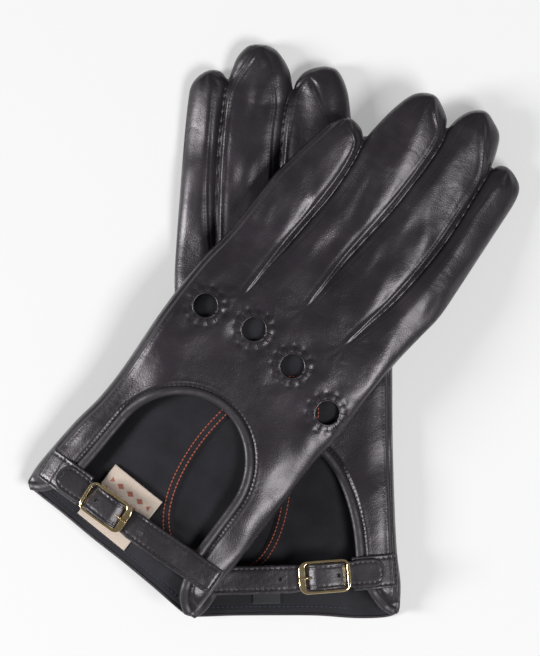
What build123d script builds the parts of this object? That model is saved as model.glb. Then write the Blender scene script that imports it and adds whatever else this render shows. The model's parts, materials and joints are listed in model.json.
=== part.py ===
from build123d import *
import math
import os

# A pair of short leather driving gloves, lying flat with the backs up: the right glove on the table,
# the left glove across it. Each glove is drawn in its own plan: U to the index side, V from the cuff
# to the fingers, millimetres. The right glove is the mirror image. Z is up from the table.

LEATHER = 0.8                 # thickness of the glove leather
SEAM_GAP = 0.05               # gap between two pieces that are sewn edge to edge
BODY_GAP = 0.3                # gap between pieces that move apart
PALM_SLAB = 1.2               # palm leather with the flat that it rests on pressed out of it
REST_DIP = 0.4                # how far the right palm is pressed flat on the table
HAND_THICK = 12.4             # palm underside to back at the hand, with air inside
FINGER_THICK = 10.8           # the same at the fingers
THUMB_THICK = 3.6             # the thumb lies flattened under the palm
THUMB_RISE = 4.3              # the palm is lifted this far over the thumb
STACK_LIFT = 13.9             # the left glove crosses the right one at this height
STACK_LIFT_FINGERS = 11.8     # and lower, where only the fingers of the right glove are under it
FINGER_GAP = 1.0              # between two neighbouring fingers
FINGER_OVERLAP = 6.0          # how far a finger's plan runs into the palm's

# Left glove, draped: level over the right glove, sloping down to the table on both sides.
CUFF_SLOPE_FROM = -36.0
CUFF_SLOPE_BEND = 18.0
CUFF_SLOPE = 0.2556
TIP_SLOPE_FROM = 50.0
TIP_SLOPE_BEND = 16.0
TIP_SLOPE = 0.29
STEP_FROM = 0.0               # the step in height from hand to fingers of the glove beneath
STEP_TO = 45.0

CUFF_HALF_WIDTH = 43.0
FINGERS = ("little", "ring", "middle", "index")
KNUCKLES = ((-30.0, 101.5), (-9.0, 106.0), (12.0, 104.0), (34.5, 98.0))
KNUCKLE_HOLE = 5.0
KNUCKLE_STITCH = 7.8
FLARE_HALF_WIDTH = 40.0       # the keyhole flares out to the side seams at the cuff
FLARE_HEIGHT = 11.0
BINDING_WIDTH = 2.3
BINDING_THICK = 1.4
FACING_WIDTH = 10.5
THUMB_HOLE = (20.5, 60.0, 17.5, 39.5)     # centre u, centre v, half width, half height
THUMB_FLANGE = 3.0
THUMB_TIP = (13.0, 101.0, 13.0)           # centre u, centre v, radius
THUMB_PIVOT = (24.0, 40.0)
SEAM_ROWS = (1.2, 3.6)                    # two rows of stitches round the thumb hole
THREAD = 0.5

# Buckle, with its centre bar at the middle of its own plane.
BUCKLE_LENGTH = 20.8
BUCKLE_WIDTH = 13.2
BUCKLE_WIRE = 1.15
FRONT_BAR = 2.8
REAR_BAR = 1.4
BAR_RADIUS = 0.7
PIN_CLEARANCE = 0.06
FRAME_RISE = 1.8              # the frame stands this far above its centre bar
STRAP_WIDTH = 10.2
STRAP_THICK = 1.1
STRAP_TIP = -23.5
TAB_WIDTH = 13.2
HOLE_SPACING = 11.6
FIRST_HOLE = 6.2
STRAP_HOLE = 0.75
PRONG_RADIUS = 0.5
PRONG_SLOT = (2.0, 9.2)
TOP = 60.0


class Hand:
    """The measurements in which the two gloves differ."""

    def __init__(self, name, mirrored, cuff, turn, seams, tips, keyhole, buckle, twist, strap_end, label):
        self.name = name
        self.mirrored = mirrored
        self.cuff = cuff            # middle of the cuff edge, in plan
        self.turn = turn            # degrees from +Y to the glove's axis
        self.seams = seams          # finger boundaries: (root u, root v, tip u, tip v)
        self.tips = tips            # v of the four fingertips
        self.keyhole = keyhole      # half width, v of the shoulder, v of the top
        self.buckle = buckle        # centre of the buckle
        self.twist = twist          # degrees of the buckle against the cuff
        self.strap_end = strap_end  # u and v of the strap's sewn end
        self.label = label          # u, v, u, v of the label's corners


LEFT = Hand(
    "left", False, (-66.2, -87.2), -38.3,
    ((-42.8, 114, -38.0, 196), (-20.0, 119, -22.3, 196), (2.8, 132, 0.6, 220), (25.2, 128, 25.8, 220),
     (45.0, 130, 41.5, 220)),
    (196.0, 224.0, 232.0, 220.0), (26.5, 45.0, 73.5), (-10.7, 14.5), 3.5, (42.0, 17.8), (-19.0, 4.2, 5.0, 29.5),
)
RIGHT = Hand(
    "right", True, (8.0, -113.6), 1.0,
    ((-42.0, 114, -40.5, 192), (-20.0, 119, -28.0, 196), (3.4, 132, -3.0, 214), (27.5, 128, 22.4, 218),
     (45.5, 130, 37.6, 218)),
    (192.0, 220.5, 229.8, 219.5), (25.5, 20.0, 71.0), (-12.9, 16.2), -3.5, (42.0, 15.0), (5.0, 5.0, 16.0, 19.0),
)
HANDS = (RIGHT, LEFT)


def smooth(value, low, high):
    """0 below low, 1 above high, and a smooth step between."""
    t = min(max((value - low) / (high - low), 0.0), 1.0)
    return t * t * (3 - 2 * t)


def slope_drop(run, bend, slope):
    """How far a surface has dropped a distance run past the point where it bends down."""
    if run <= 0:
        return 0.0
    if run < bend:
        return slope * run * run / (2 * bend)
    return slope * (run - bend / 2)


def to_plan(hand, u, v):
    """A point of the glove's own plan, in the plan of the pair."""
    side = -u if hand.mirrored else u
    a = math.radians(hand.turn)
    return (
        hand.cuff[0] + side * math.cos(a) - v * math.sin(a),
        hand.cuff[1] + side * math.sin(a) + v * math.cos(a),
    )


def base_height(hand, u, v):
    """What the glove lies on: the table, or for the left glove the right one."""
    if hand.mirrored:
        return 0.0
    x, y = to_plan(hand, u, v)
    lift = STACK_LIFT - (STACK_LIFT - STACK_LIFT_FINGERS) * smooth(y, STEP_FROM, STEP_TO)
    lift -= slope_drop(CUFF_SLOPE_FROM - x, CUFF_SLOPE_BEND, CUFF_SLOPE)
    lift -= slope_drop(x - TIP_SLOPE_FROM, TIP_SLOPE_BEND, TIP_SLOPE)
    return max(lift, 2 * BODY_GAP)


def palm_height(hand, u, v):
    """Underside of the palm, lifted over the thumb."""
    over = smooth(u, -38, -13) * smooth(v, 0, 20) * (1 - smooth(v, 122, 146))
    dip = REST_DIP if hand.mirrored else 0.0
    return base_height(hand, u, v) - dip + (THUMB_RISE + dip) * over


def back_height(hand, u, v):
    """Outside of the back."""
    return base_height(hand, u, v) + HAND_THICK - (HAND_THICK - FINGER_THICK) * smooth(v, 105, 145)


def surface(hand, height):
    """A smooth face over the whole glove at the given height."""
    rows = []
    for i in range(16):
        u = -50 + 104 * i / 15
        rows.append([Vector(u, -8 + 250 * j / 36, height(hand, u, -8 + 250 * j / 36)) for j in range(37)])
    return Face.make_surface_from_array_of_points(rows)


def raised(face, rise, thick):
    """The space from a face moved up by rise to thick above that."""
    return Solid.extrude(Pos(0, 0, rise) * face, Vector(0, 0, thick))


def prism(sketch):
    """A plan shape as a tall prism through the whole glove."""
    return extrude(Pos(0, 0, -5) * sketch, amount=TOP, dir=(0, 0, 1))


def outline_of(*points):
    """A closed plan outline, with its points put in counter-clockwise order."""
    pairs = zip(points, points[1:] + points[:1])
    doubled_area = sum(a[0] * b[1] - b[0] * a[1] for a, b in pairs)
    return Polygon(*(points if doubled_area > 0 else points[::-1]), align=None)


def at(line, v):
    """u of a boundary line at a given v."""
    u0, v0, u1, v1 = line
    return u0 + (u1 - u0) * (v - v0) / (v1 - v0)


def finger_shape(hand, index):
    """Plan of one finger, rounded at its tip."""
    near = hand.seams[index]
    far = hand.seams[index + 1]
    tip = hand.tips[index]
    root = min(near[1], far[1]) - FINGER_OVERLAP
    shape = outline_of((at(near, root), root), (at(near, tip), tip), (at(far, tip), tip), (at(far, root), root))
    width = at(far, tip) - at(near, tip)
    return fillet(shape.vertices().sort_by(Axis.Y)[-2:], width * 0.42)


def finger_slot(line):
    """Plan of the gap between two fingers, down to the crotch."""
    half = FINGER_GAP / 2
    u0, v0, _, _ = line
    end = max(LEFT.tips) + 8
    return outline_of((u0 - half, v0), (u0 + half, v0), (at(line, end) + half, end), (at(line, end) - half, end))


def hand_shape(hand):
    """Plan of the whole glove without its thumb."""
    little, *inner, index = hand.seams
    root = little[1] - 2 * FINGER_OVERLAP
    shape = outline_of((-CUFF_HALF_WIDTH, 0), (-40.6, 52), (at(little, root), root),
                       (at(little, little[1]), little[1]), (at(index, index[1] - 2), index[1] - 2),
                       (at(index, root), root), (43.4, 60), (CUFF_HALF_WIDTH, 0))
    for number in range(4):
        shape += finger_shape(hand, number)
    for line in inner:
        shape -= finger_slot(line)
    return shape


def keyhole_shape(hand, grow):
    """Plan of the keyhole in the back, an arch that flares out at the cuff."""
    half, shoulder, top = hand.keyhole
    half += grow
    arch = Pos(0, shoulder) * Ellipse(half, top + grow - shoulder)
    legs = Pos(0, shoulder / 2 - 5) * Rectangle(2 * half, shoulder + 10)
    flare = outline_of(
        (-FLARE_HALF_WIDTH - grow, -3), (-half, FLARE_HEIGHT + grow), (half, FLARE_HEIGHT + grow),
        (FLARE_HALF_WIDTH + grow, -3),
    )
    return arch + legs + flare


def thumb_oval(grow):
    """Plan of the thumb hole in the palm, made larger all round by grow."""
    u, v, half_width, half_height = THUMB_HOLE
    return Pos(u, v) * Ellipse(half_width + grow, half_height + grow)


def between_fingers(hand, index, shrink):
    """The plan area of one fourchette: from the middle of one finger to the middle of the next."""
    near, edge, far = hand.seams[index:index + 3]
    low = edge[1] - 8
    near_top = hand.tips[index] + 3
    far_top = hand.tips[index + 1] + 3
    return outline_of(
        ((at(near, low) + at(edge, low)) / 2 + shrink, low),
        ((at(near, near_top) + at(edge, near_top)) / 2 + shrink, near_top),
        (at(edge, near_top), near_top),
        (at(edge, far_top), far_top),
        ((at(edge, far_top) + at(far, far_top)) / 2 - shrink, far_top),
        ((at(edge, low) + at(far, low)) / 2 - shrink, low),
    )


def back_panel(hand, outline, back):
    """The back, with its keyhole and four knuckle holes."""
    plan = outline - keyhole_shape(hand, BINDING_WIDTH + SEAM_GAP)
    for u, v in KNUCKLES:
        plan -= Pos(u, v) * Circle(KNUCKLE_HOLE)
    return prism(plan) & raised(back, -LEATHER, LEATHER)


def palm_panel(hand, outline, palm, back):
    """The palm, turned up round the outer sides and the fingertips, open at the cuff and the thumb hole."""
    inside = offset(outline, amount=-LEATHER, kind=Kind.INTERSECTION)
    inside += Rectangle(2 * (CUFF_HALF_WIDTH - LEATHER - SEAM_GAP), FACING_WIDTH)
    for index in range(3):
        inside += outline & between_fingers(hand, index, 0.0)
    block = prism(outline - thumb_oval(0.0)) & raised(palm, 0, TOP)
    block -= raised(back, -LEATHER - SEAM_GAP, TOP)
    block -= prism(inside) & raised(palm, PALM_SLAB, TOP)
    if hand.mirrored:
        block &= Pos(0, 110, TOP / 2) * Box(300, 400, TOP)
    return block


def fourchette(hand, outline, palm, back, index):
    """The strip of leather between two fingers, folded at the crotch."""
    wall = outline - offset(outline, amount=-LEATHER, kind=Kind.INTERSECTION)
    strip = prism(wall & between_fingers(hand, index, SEAM_GAP))
    strip &= raised(palm, PALM_SLAB + SEAM_GAP, TOP)
    strip -= raised(back, -LEATHER - SEAM_GAP, TOP)
    return strip.solids().sort_by(SortBy.VOLUME)[-1]


def keyhole_binding(hand, outline, back):
    """The rolled edge of the keyhole."""
    inner = offset(outline, amount=-LEATHER - SEAM_GAP, kind=Kind.INTERSECTION)
    ring = (keyhole_shape(hand, BINDING_WIDTH) - keyhole_shape(hand, 0)) & inner
    return prism(ring) & raised(back, -BINDING_THICK, BINDING_THICK)


def knuckle_stitching(back):
    """A ring of overcast stitches round each knuckle hole."""
    rings = Sketch()
    for u, v in KNUCKLES:
        rings += Pos(u, v) * (Circle(KNUCKLE_STITCH) - Circle(KNUCKLE_HOLE + 0.1))
    return prism(rings) & raised(back, SEAM_GAP, THREAD)


def thumb_seam(palm):
    """Two rows of thread round the thumb hole, on the inside of the palm."""
    rows = Sketch()
    for grow in SEAM_ROWS:
        rows += thumb_oval(grow + THREAD / 2) - thumb_oval(grow - THREAD / 2)
    return prism(rows) & raised(palm, PALM_SLAB + SEAM_GAP, 0.3)


def cuff_facing(outline, palm):
    """The turned-in hem of the palm at the cuff."""
    inner = offset(outline, amount=-LEATHER - SEAM_GAP, kind=Kind.INTERSECTION)
    strip = inner & (Pos(0, FACING_WIDTH / 2 + 0.4) * Rectangle(100, FACING_WIDTH - 0.8))
    return prism(strip) & raised(palm, PALM_SLAB + SEAM_GAP, LEATHER)


def label(hand, palm):
    """The label sewn in at the cuff by its lower edge."""
    u0, v0, u1, v1 = hand.label
    plan = Pos((u0 + u1) / 2, (v0 + v1) / 2) * Rectangle(u1 - u0, v1 - v0)
    return prism(plan) & raised(palm, PALM_SLAB + LEATHER + 2 * BODY_GAP, THREAD)


def thumb_shape(grow):
    """Plan of the thumb piece: an oval flange under the thumb hole, and the thumb beyond it."""
    u, v, radius = THUMB_TIP
    root_u, root_v, half_width, _ = THUMB_HOLE
    root_half = half_width + THUMB_FLANGE - 0.4 + grow
    radius += grow
    stem = outline_of((root_u - root_half, root_v + 4), (root_u + root_half, root_v + 4), (u + radius, v),
                      (u - radius, v))
    return thumb_oval(THUMB_FLANGE + grow) + stem + Pos(u, v) * Circle(radius)


def thumb(base):
    """The thumb, a flattened tube that is open to the thumb hole above it."""
    body = prism(thumb_shape(0.0)) & raised(base, 0, THUMB_THICK)
    body -= prism(thumb_shape(-LEATHER)) & raised(base, LEATHER, THUMB_THICK - 2 * LEATHER)
    return body - (prism(thumb_oval(-0.5)) & raised(base, LEATHER + 0.4, TOP))


def closure_plane(hand):
    """The plane that the buckle lies in, with its origin under the middle of the centre bar."""
    u, v = hand.buckle
    rise_u = back_height(hand, u + 0.5, v) - back_height(hand, u - 0.5, v)
    rise_v = back_height(hand, u, v + 0.5) - back_height(hand, u, v - 0.5)
    a = math.radians(hand.twist)
    along = Vector(math.cos(a), math.sin(a), rise_u * math.cos(a) + rise_v * math.sin(a))
    return Plane(origin=(u, v, back_height(hand, u, v)), x_dir=along, z_dir=(-rise_u, -rise_v, 1))


def bar_height():
    """Height of the centre bar's axis over the closure plane: the tab is wrapped round the bar."""
    return SEAM_GAP + LEATHER + PIN_CLEARANCE + BAR_RADIUS


def side_plate(points, width):
    """A shape drawn in the closure's side view (along, up), as wide as given."""
    return extrude(Plane.XZ * outline_of(*points), amount=width / 2, both=True)


def bar(radius, length, height):
    """A round bar across the closure."""
    return Pos(0, 0, height) * Rot(90, 0, 0) * Cylinder(radius, length)


def buckle_frame(plane):
    """The buckle's frame, with its centre bar dropped below it."""
    outer = fillet(Rectangle(BUCKLE_LENGTH, BUCKLE_WIDTH).vertices(), 3.6)
    inner_length = BUCKLE_LENGTH - FRONT_BAR - REAR_BAR
    shift = (REAR_BAR - FRONT_BAR) / 2
    inner_width = BUCKLE_WIDTH - 2 * BUCKLE_WIRE
    inner = Pos(shift, 0) * fillet(Rectangle(inner_length, inner_width).vertices(), 1.4)
    height = bar_height() + FRAME_RISE
    frame = extrude(Pos(0, 0, height - BAR_RADIUS) * (outer - inner), amount=2 * BAR_RADIUS)
    frame = fillet(frame.edges().group_by(Axis.Z)[-1], 0.4)
    lug_width = (BUCKLE_WIDTH - inner_width) / 2 - 0.1
    for side in (-1, 1):
        lug = Box(2 * BAR_RADIUS, lug_width, FRAME_RISE)
        frame += Pos(0, side * (BUCKLE_WIDTH - lug_width - 0.2) / 2, bar_height() + FRAME_RISE / 2) * lug
    return plane.location * (frame + bar(BAR_RADIUS, BUCKLE_WIDTH - 0.4, bar_height()))


def buckle_prong(plane):
    """The prong: a ring on the centre bar and an arm that comes up through the strap onto the front bar."""
    height = bar_height()
    on_bar = height + FRAME_RISE + BAR_RADIUS + PRONG_RADIUS + 0.08
    route = (
        Vector(0.85, 0, height + 1.0),
        Vector(4.6, 0, height + 1.55),
        Vector(7.2, 0, on_bar),
        Vector(BUCKLE_LENGTH / 2 - 0.5, 0, on_bar),
    )
    prong = bar(BAR_RADIUS + PIN_CLEARANCE + 0.6, 2 * PRONG_RADIUS, height)
    prong -= bar(BAR_RADIUS + PIN_CLEARANCE, 5, height)
    for start, end in zip(route, route[1:]):
        run = end - start
        prong += Solid.make_cylinder(PRONG_RADIUS, run.length, Plane(origin=start, z_dir=run))
        prong += Pos(end) * Sphere(PRONG_RADIUS)
    return plane.location * prong


def buckle_tab(hand, plane):
    """The leather tab that holds the buckle: sewn to the side seam and wrapped round the centre bar."""
    start = -39.6 - hand.buckle[0]
    loop = BAR_RADIUS + PIN_CLEARANCE + LEATHER
    narrow = STRAP_WIDTH - 0.1
    step = -BUCKLE_LENGTH / 2 - 1.5
    wide = Pos((start + step) / 2, 0, SEAM_GAP + LEATHER / 2) * Box(step - start, TAB_WIDTH, LEATHER)
    tab = wide + Pos(step / 2, 0, SEAM_GAP + LEATHER / 2) * Box(-step, narrow, LEATHER)
    tab += bar(loop, narrow, bar_height())
    tab -= bar(BAR_RADIUS + PIN_CLEARANCE, TOP, bar_height())
    tab -= Pos(0.3, 0, bar_height()) * Box(2 * loop + 1.0, 2.0, 10)
    return plane.location * tab


def strap(hand, plane, back):
    """The strap: sewn on at the index side, under the front bar, over the centre bar, under the rear bar."""
    crest = bar_height() + BAR_RADIUS + PIN_CLEARANCE + LEATHER + 0.15
    on_tab = SEAM_GAP + LEATHER + 0.1
    turn = 14.0
    bottom = (
        (STRAP_TIP, on_tab), (-8.8, on_tab), (-3.0, crest), (1.0, crest + 0.2), (4.2, crest + 0.6),
        (7.2, on_tab), (turn, 0.1),
    )
    top = [(x, z + STRAP_THICK) for x, z in reversed(bottom)]
    wave = side_plate([*bottom, *top], STRAP_WIDTH)
    tip_edges = wave.edges().filter_by(Axis.Z).group_by(Axis.X)[0]
    wave = fillet(tip_edges, STRAP_WIDTH * 0.42)
    wave -= Pos((PRONG_SLOT[0] + PRONG_SLOT[1]) / 2, 0, 3) * Box(PRONG_SLOT[1] - PRONG_SLOT[0], 2.0, 12)
    wave -= Pos(FIRST_HOLE - HOLE_SPACING, 0, 3) * Cylinder(STRAP_HOLE, 12)
    wave = plane.location * wave
    near = plane.from_local_coords(Vector(turn - 0.3, 0, 0))
    far = Vector(*hand.strap_end)
    half = STRAP_WIDTH / 2
    flat = outline_of((near.X, near.Y - half), (far.X, far.Y - half), (far.X, far.Y + half),
                      (near.X, near.Y + half))
    spare = plane.from_local_coords(Vector(FIRST_HOLE + HOLE_SPACING, 0, 0))
    flat -= Pos(spare.X, spare.Y) * Circle(STRAP_HOLE)
    return wave + (prism(flat) & raised(back, 0.1, STRAP_THICK))


def build_hand(hand):
    """All the pieces of one glove, in its own plan, by name."""
    outline = hand_shape(hand)
    palm = surface(hand, palm_height)
    back = surface(hand, back_height)
    base = surface(hand, base_height)
    plane = closure_plane(hand)
    pieces = {
        "back_panel": back_panel(hand, outline, back),
        "palm_panel": palm_panel(hand, outline, palm, back),
        "cuff_facing": cuff_facing(outline, palm),
        "thumb": thumb(base),
        "keyhole_binding": keyhole_binding(hand, outline, back),
        "knuckle_stitching": knuckle_stitching(back),
        "thumb_seam": thumb_seam(palm),
        "strap": strap(hand, plane, back),
        "buckle_tab": buckle_tab(hand, plane),
        "buckle_frame": buckle_frame(plane),
        "buckle_prong": buckle_prong(plane),
        "label": label(hand, palm),
    }
    for index in range(3):
        name = f"fourchette_{FINGERS[index + 1]}_{FINGERS[index]}"
        pieces[name] = fourchette(hand, outline, palm, back, index)
    return pieces


def placed(hand, piece):
    """A piece moved from the glove's own plan to its place in the pair."""
    if hand.mirrored:
        piece = mirror(piece, about=Plane.YZ)
    return Pos(hand.cuff[0], hand.cuff[1], 0) * Rot(0, 0, hand.turn) * piece


def build_pair():
    """Every node of the pair by name, with the origin under the middle of its footprint."""
    nodes = {}
    for hand in HANDS:
        for name, piece in build_hand(hand).items():
            nodes[f"{hand.name}_{name}"] = placed(hand, piece)
    boxes = [piece.bounding_box() for piece in nodes.values()]
    middle_x = (min(b.min.X for b in boxes) + max(b.max.X for b in boxes)) / 2
    middle_y = (min(b.min.Y for b in boxes) + max(b.max.Y for b in boxes)) / 2
    centre = Pos(-middle_x, -middle_y, -min(b.min.Z for b in boxes))
    print("origin shift", centre.position)
    return {name: centre * piece for name, piece in nodes.items()}


if __name__ == "__main__":
    os.makedirs("parts", exist_ok=True)
    for node_name, solid in build_pair().items():
        export_step(solid, f"parts/{node_name}.step")
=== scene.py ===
import json
import math
import bpy
import numpy as np
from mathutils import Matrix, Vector


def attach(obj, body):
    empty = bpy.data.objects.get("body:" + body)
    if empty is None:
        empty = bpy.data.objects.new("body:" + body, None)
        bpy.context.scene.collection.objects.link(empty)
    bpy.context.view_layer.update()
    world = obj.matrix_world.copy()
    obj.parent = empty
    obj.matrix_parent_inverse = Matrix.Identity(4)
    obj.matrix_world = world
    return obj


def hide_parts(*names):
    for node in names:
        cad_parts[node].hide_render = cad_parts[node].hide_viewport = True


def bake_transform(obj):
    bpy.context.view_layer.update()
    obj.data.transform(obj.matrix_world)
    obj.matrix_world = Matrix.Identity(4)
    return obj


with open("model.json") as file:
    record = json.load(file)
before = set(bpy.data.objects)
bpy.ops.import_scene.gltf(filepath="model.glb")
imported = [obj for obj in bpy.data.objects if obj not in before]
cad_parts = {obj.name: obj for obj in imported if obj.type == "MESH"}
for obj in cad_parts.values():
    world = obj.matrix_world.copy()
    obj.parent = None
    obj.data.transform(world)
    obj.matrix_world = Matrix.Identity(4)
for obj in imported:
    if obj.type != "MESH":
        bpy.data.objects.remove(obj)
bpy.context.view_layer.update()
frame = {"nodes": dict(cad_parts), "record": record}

# A pair of leather driving gloves lying flat, backs up, the left glove across the right one.
# Each glove is shaped in its own plan, in millimetres: u to the index side, v from cuff to fingers.

MM = 0.001
CELL = 0.5                    # spacing of the leather's mesh
LEATHER = 0.8                 # thickness of the leather
HAND_THICK = 12.4             # a glove lying flat, over the hand
FINGER_THICK = 10.8
THUMB_THICK = 3.6
THUMB_RISE = 4.3              # the palm lies this much higher over the thumb
STACK_LIFT = 13.9             # height of the left glove on the right one, at its cuff and at its fingers
STACK_LIFT_FINGERS = 11.8
# Past the sides of the right glove the left one slopes down: from this x, over this bend, at this slope.
DROP_LOW_X, DROP_HIGH_X = (-36.15, 18.0, 0.2556), (49.85, 16.0, 0.29)
SEAM_LEVEL = 0.44             # height of the closed edges between the underside and the back
KNUCKLES = ((-30.0, 101.5), (-9.0, 106.0), (12.0, 104.0), (34.5, 98.0))
KNUCKLE_HOLE = 5.0            # radius
ROLL_WIDTH = 3.7              # the rolled edge of the keyhole
THUMB_SEAM = (20.5, 60.0, 17.5, 39.5)    # centre and half sizes of the oval
SEAM_ROWS = (0.6, 3.0)        # the rust rows, outside the oval
STITCH_INSET = 1.4            # a row of stitches runs this far inside the edge that it holds
STITCH_PITCH = 1.6
STRAP_PITCH = 2.1
KEYHOLE_ROW = 4.3             # the stitches round the keyhole, from its edge
HEM_ROW = 3.7                 # the stitches of the hem, from the cuff's edge
LINED_UP_TO = 132             # the suede inside is drawn up to here; nothing shows further into the fingers


# ---------- numbers and curves ----------

def smooth(value, low, high):
    """0 below low, 1 above high, with a smooth step between them."""
    t = np.clip((np.asarray(value, float) - low) / (high - low), 0, 1)
    return t * t * (3 - 2 * t)


def slope_drop(run, bend, slope):
    """How far a slope has fallen after run; it starts level and bends over its first stretch."""
    run = np.maximum(run, 0)
    return np.where(run < bend, slope * run * run / (2 * bend), slope * (run - bend / 2))


def noise(x, y, seed):
    """Smooth noise from -1 to 1 with one cell per unit."""
    x, y = np.asarray(x, float), np.asarray(y, float)
    i, j = np.floor(x).astype(np.int64), np.floor(y).astype(np.int64)
    fx, fy = x - i, y - j
    fx, fy = fx * fx * fx * (fx * (fx * 6 - 15) + 10), fy * fy * fy * (fy * (fy * 6 - 15) + 10)

    def corner(a, b):
        h = (a * 374761393 + b * 668265263 + seed * 1442695041) & 0xFFFFFFFF
        h = ((h ^ (h >> 13)) * 1274126177) & 0xFFFFFFFF
        return ((h ^ (h >> 16)) & 0xFFFF) / 32767.5 - 1

    low = corner(i, j) * (1 - fx) + corner(i + 1, j) * fx
    high = corner(i, j + 1) * (1 - fx) + corner(i + 1, j + 1) * fx
    return low * (1 - fy) + high * fy


def fractal(x, y, seed, layers=3):
    """Layers of smooth noise, each half as wide and half as strong as the last."""
    total = 0
    for k in range(layers):
        total = total + noise(x * 2 ** k + 7.3 * k, y * 2 ** k + 3.1 * k, seed + k) / 2 ** k
    return total / 1.6


def creases(x, y, seed):
    """Sharp valleys between soft folds, 0 to 1."""
    return 1 - np.abs(fractal(x, y, seed, 2)) * 2.2


def curve_through(points, step=1.0, closed=False):
    """A smooth curve through the points, sampled every step."""
    p = np.array(points, float)
    if closed:
        p = np.vstack([p[-1], p, p[0], p[1]])
    else:
        p = np.vstack([2 * p[0] - p[1], p, 2 * p[-1] - p[-2]])
    out = []
    for a, b, c, d in zip(p[:-3], p[1:-2], p[2:-1], p[3:]):
        n = max(int(np.linalg.norm(c - b) / step), 1)
        t = (np.arange(n) / n)[:, None]
        out.append(0.5 * (2 * b + (c - a) * t + (2 * a - 5 * b + 4 * c - d) * t ** 2
                          + (3 * b - a - 3 * c + d) * t ** 3))
    if not closed:
        out.append(p[-2][None])
    return np.vstack(out)


def run_length(path):
    """Distance run along a path at each of its points."""
    return np.r_[0, np.cumsum(np.linalg.norm(np.diff(path, axis=0), axis=1))]


def unit(vectors):
    """The vectors at length 1."""
    return vectors / (np.linalg.norm(vectors, axis=-1, keepdims=True) + 1e-12)


def even(path, step):
    """The path cut again into equal steps."""
    length = run_length(path)
    at = np.linspace(0, length[-1], max(int(round(length[-1] / step)), 1) + 1)
    return np.column_stack([np.interp(at, length, path[:, k]) for k in range(path.shape[1])])


def moved_left(path, amount):
    """The path moved to its left side."""
    d = unit(np.gradient(path, axis=0))
    return path + np.column_stack([-d[:, 1], d[:, 0]]) * amount


class Line:
    """Distances of many points from one path."""

    def __init__(self, path, u, v, reach=1e9):
        path = np.asarray(path, float)
        self.distance = np.full(u.shape, 1e9)
        self.side = np.zeros(u.shape)
        self.along = np.zeros(u.shape)
        run = 0.0
        low, high = path.min(0) - reach, path.max(0) + reach
        near = (u > low[0]) & (u < high[0]) & (v > low[1]) & (v < high[1])
        x, y = u[near], v[near]
        best, side, along = np.full(x.shape, 1e9), np.zeros(x.shape), np.zeros(x.shape)
        for a, b in zip(path[:-1], path[1:]):
            d = b - a
            size = math.hypot(*d)
            if size < 1e-9:
                continue
            t = np.clip(((x - a[0]) * d[0] + (y - a[1]) * d[1]) / size ** 2, 0, 1)
            dx, dy = x - a[0] - t * d[0], y - a[1] - t * d[1]
            far = np.hypot(dx, dy)
            closer = far < best
            best[closer] = far[closer]
            side[closer] = (d[0] * dy - d[1] * dx)[closer]
            along[closer] = (run + t * size)[closer]
            run += size
        self.length = run
        self.distance[near] = best
        self.side[near] = np.sign(side)
        self.along[near] = along
        self.signed = self.distance * np.where(self.side < 0, -1, 1)

    def ends(self, fade):
        """0 at both ends of the path, 1 a distance fade from them."""
        return smooth(self.along, 0, fade) * smooth(self.length - self.along, 0, fade)


def inside(path, u, v):
    """True for points inside a closed path."""
    hit = np.zeros(u.shape, bool)
    for a, b in zip(path, np.roll(path, -1, axis=0)):
        if a[1] == b[1]:
            continue
        cross = (a[1] > v) != (b[1] > v)
        hit ^= cross & (u < (b[0] - a[0]) * (v - a[1]) / (b[1] - a[1]) + a[0])
    return hit


def gauss(x, width):
    """A bump of height 1 at 0."""
    return np.exp(-(x / width) ** 2)


# ---------- the two gloves ----------

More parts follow.
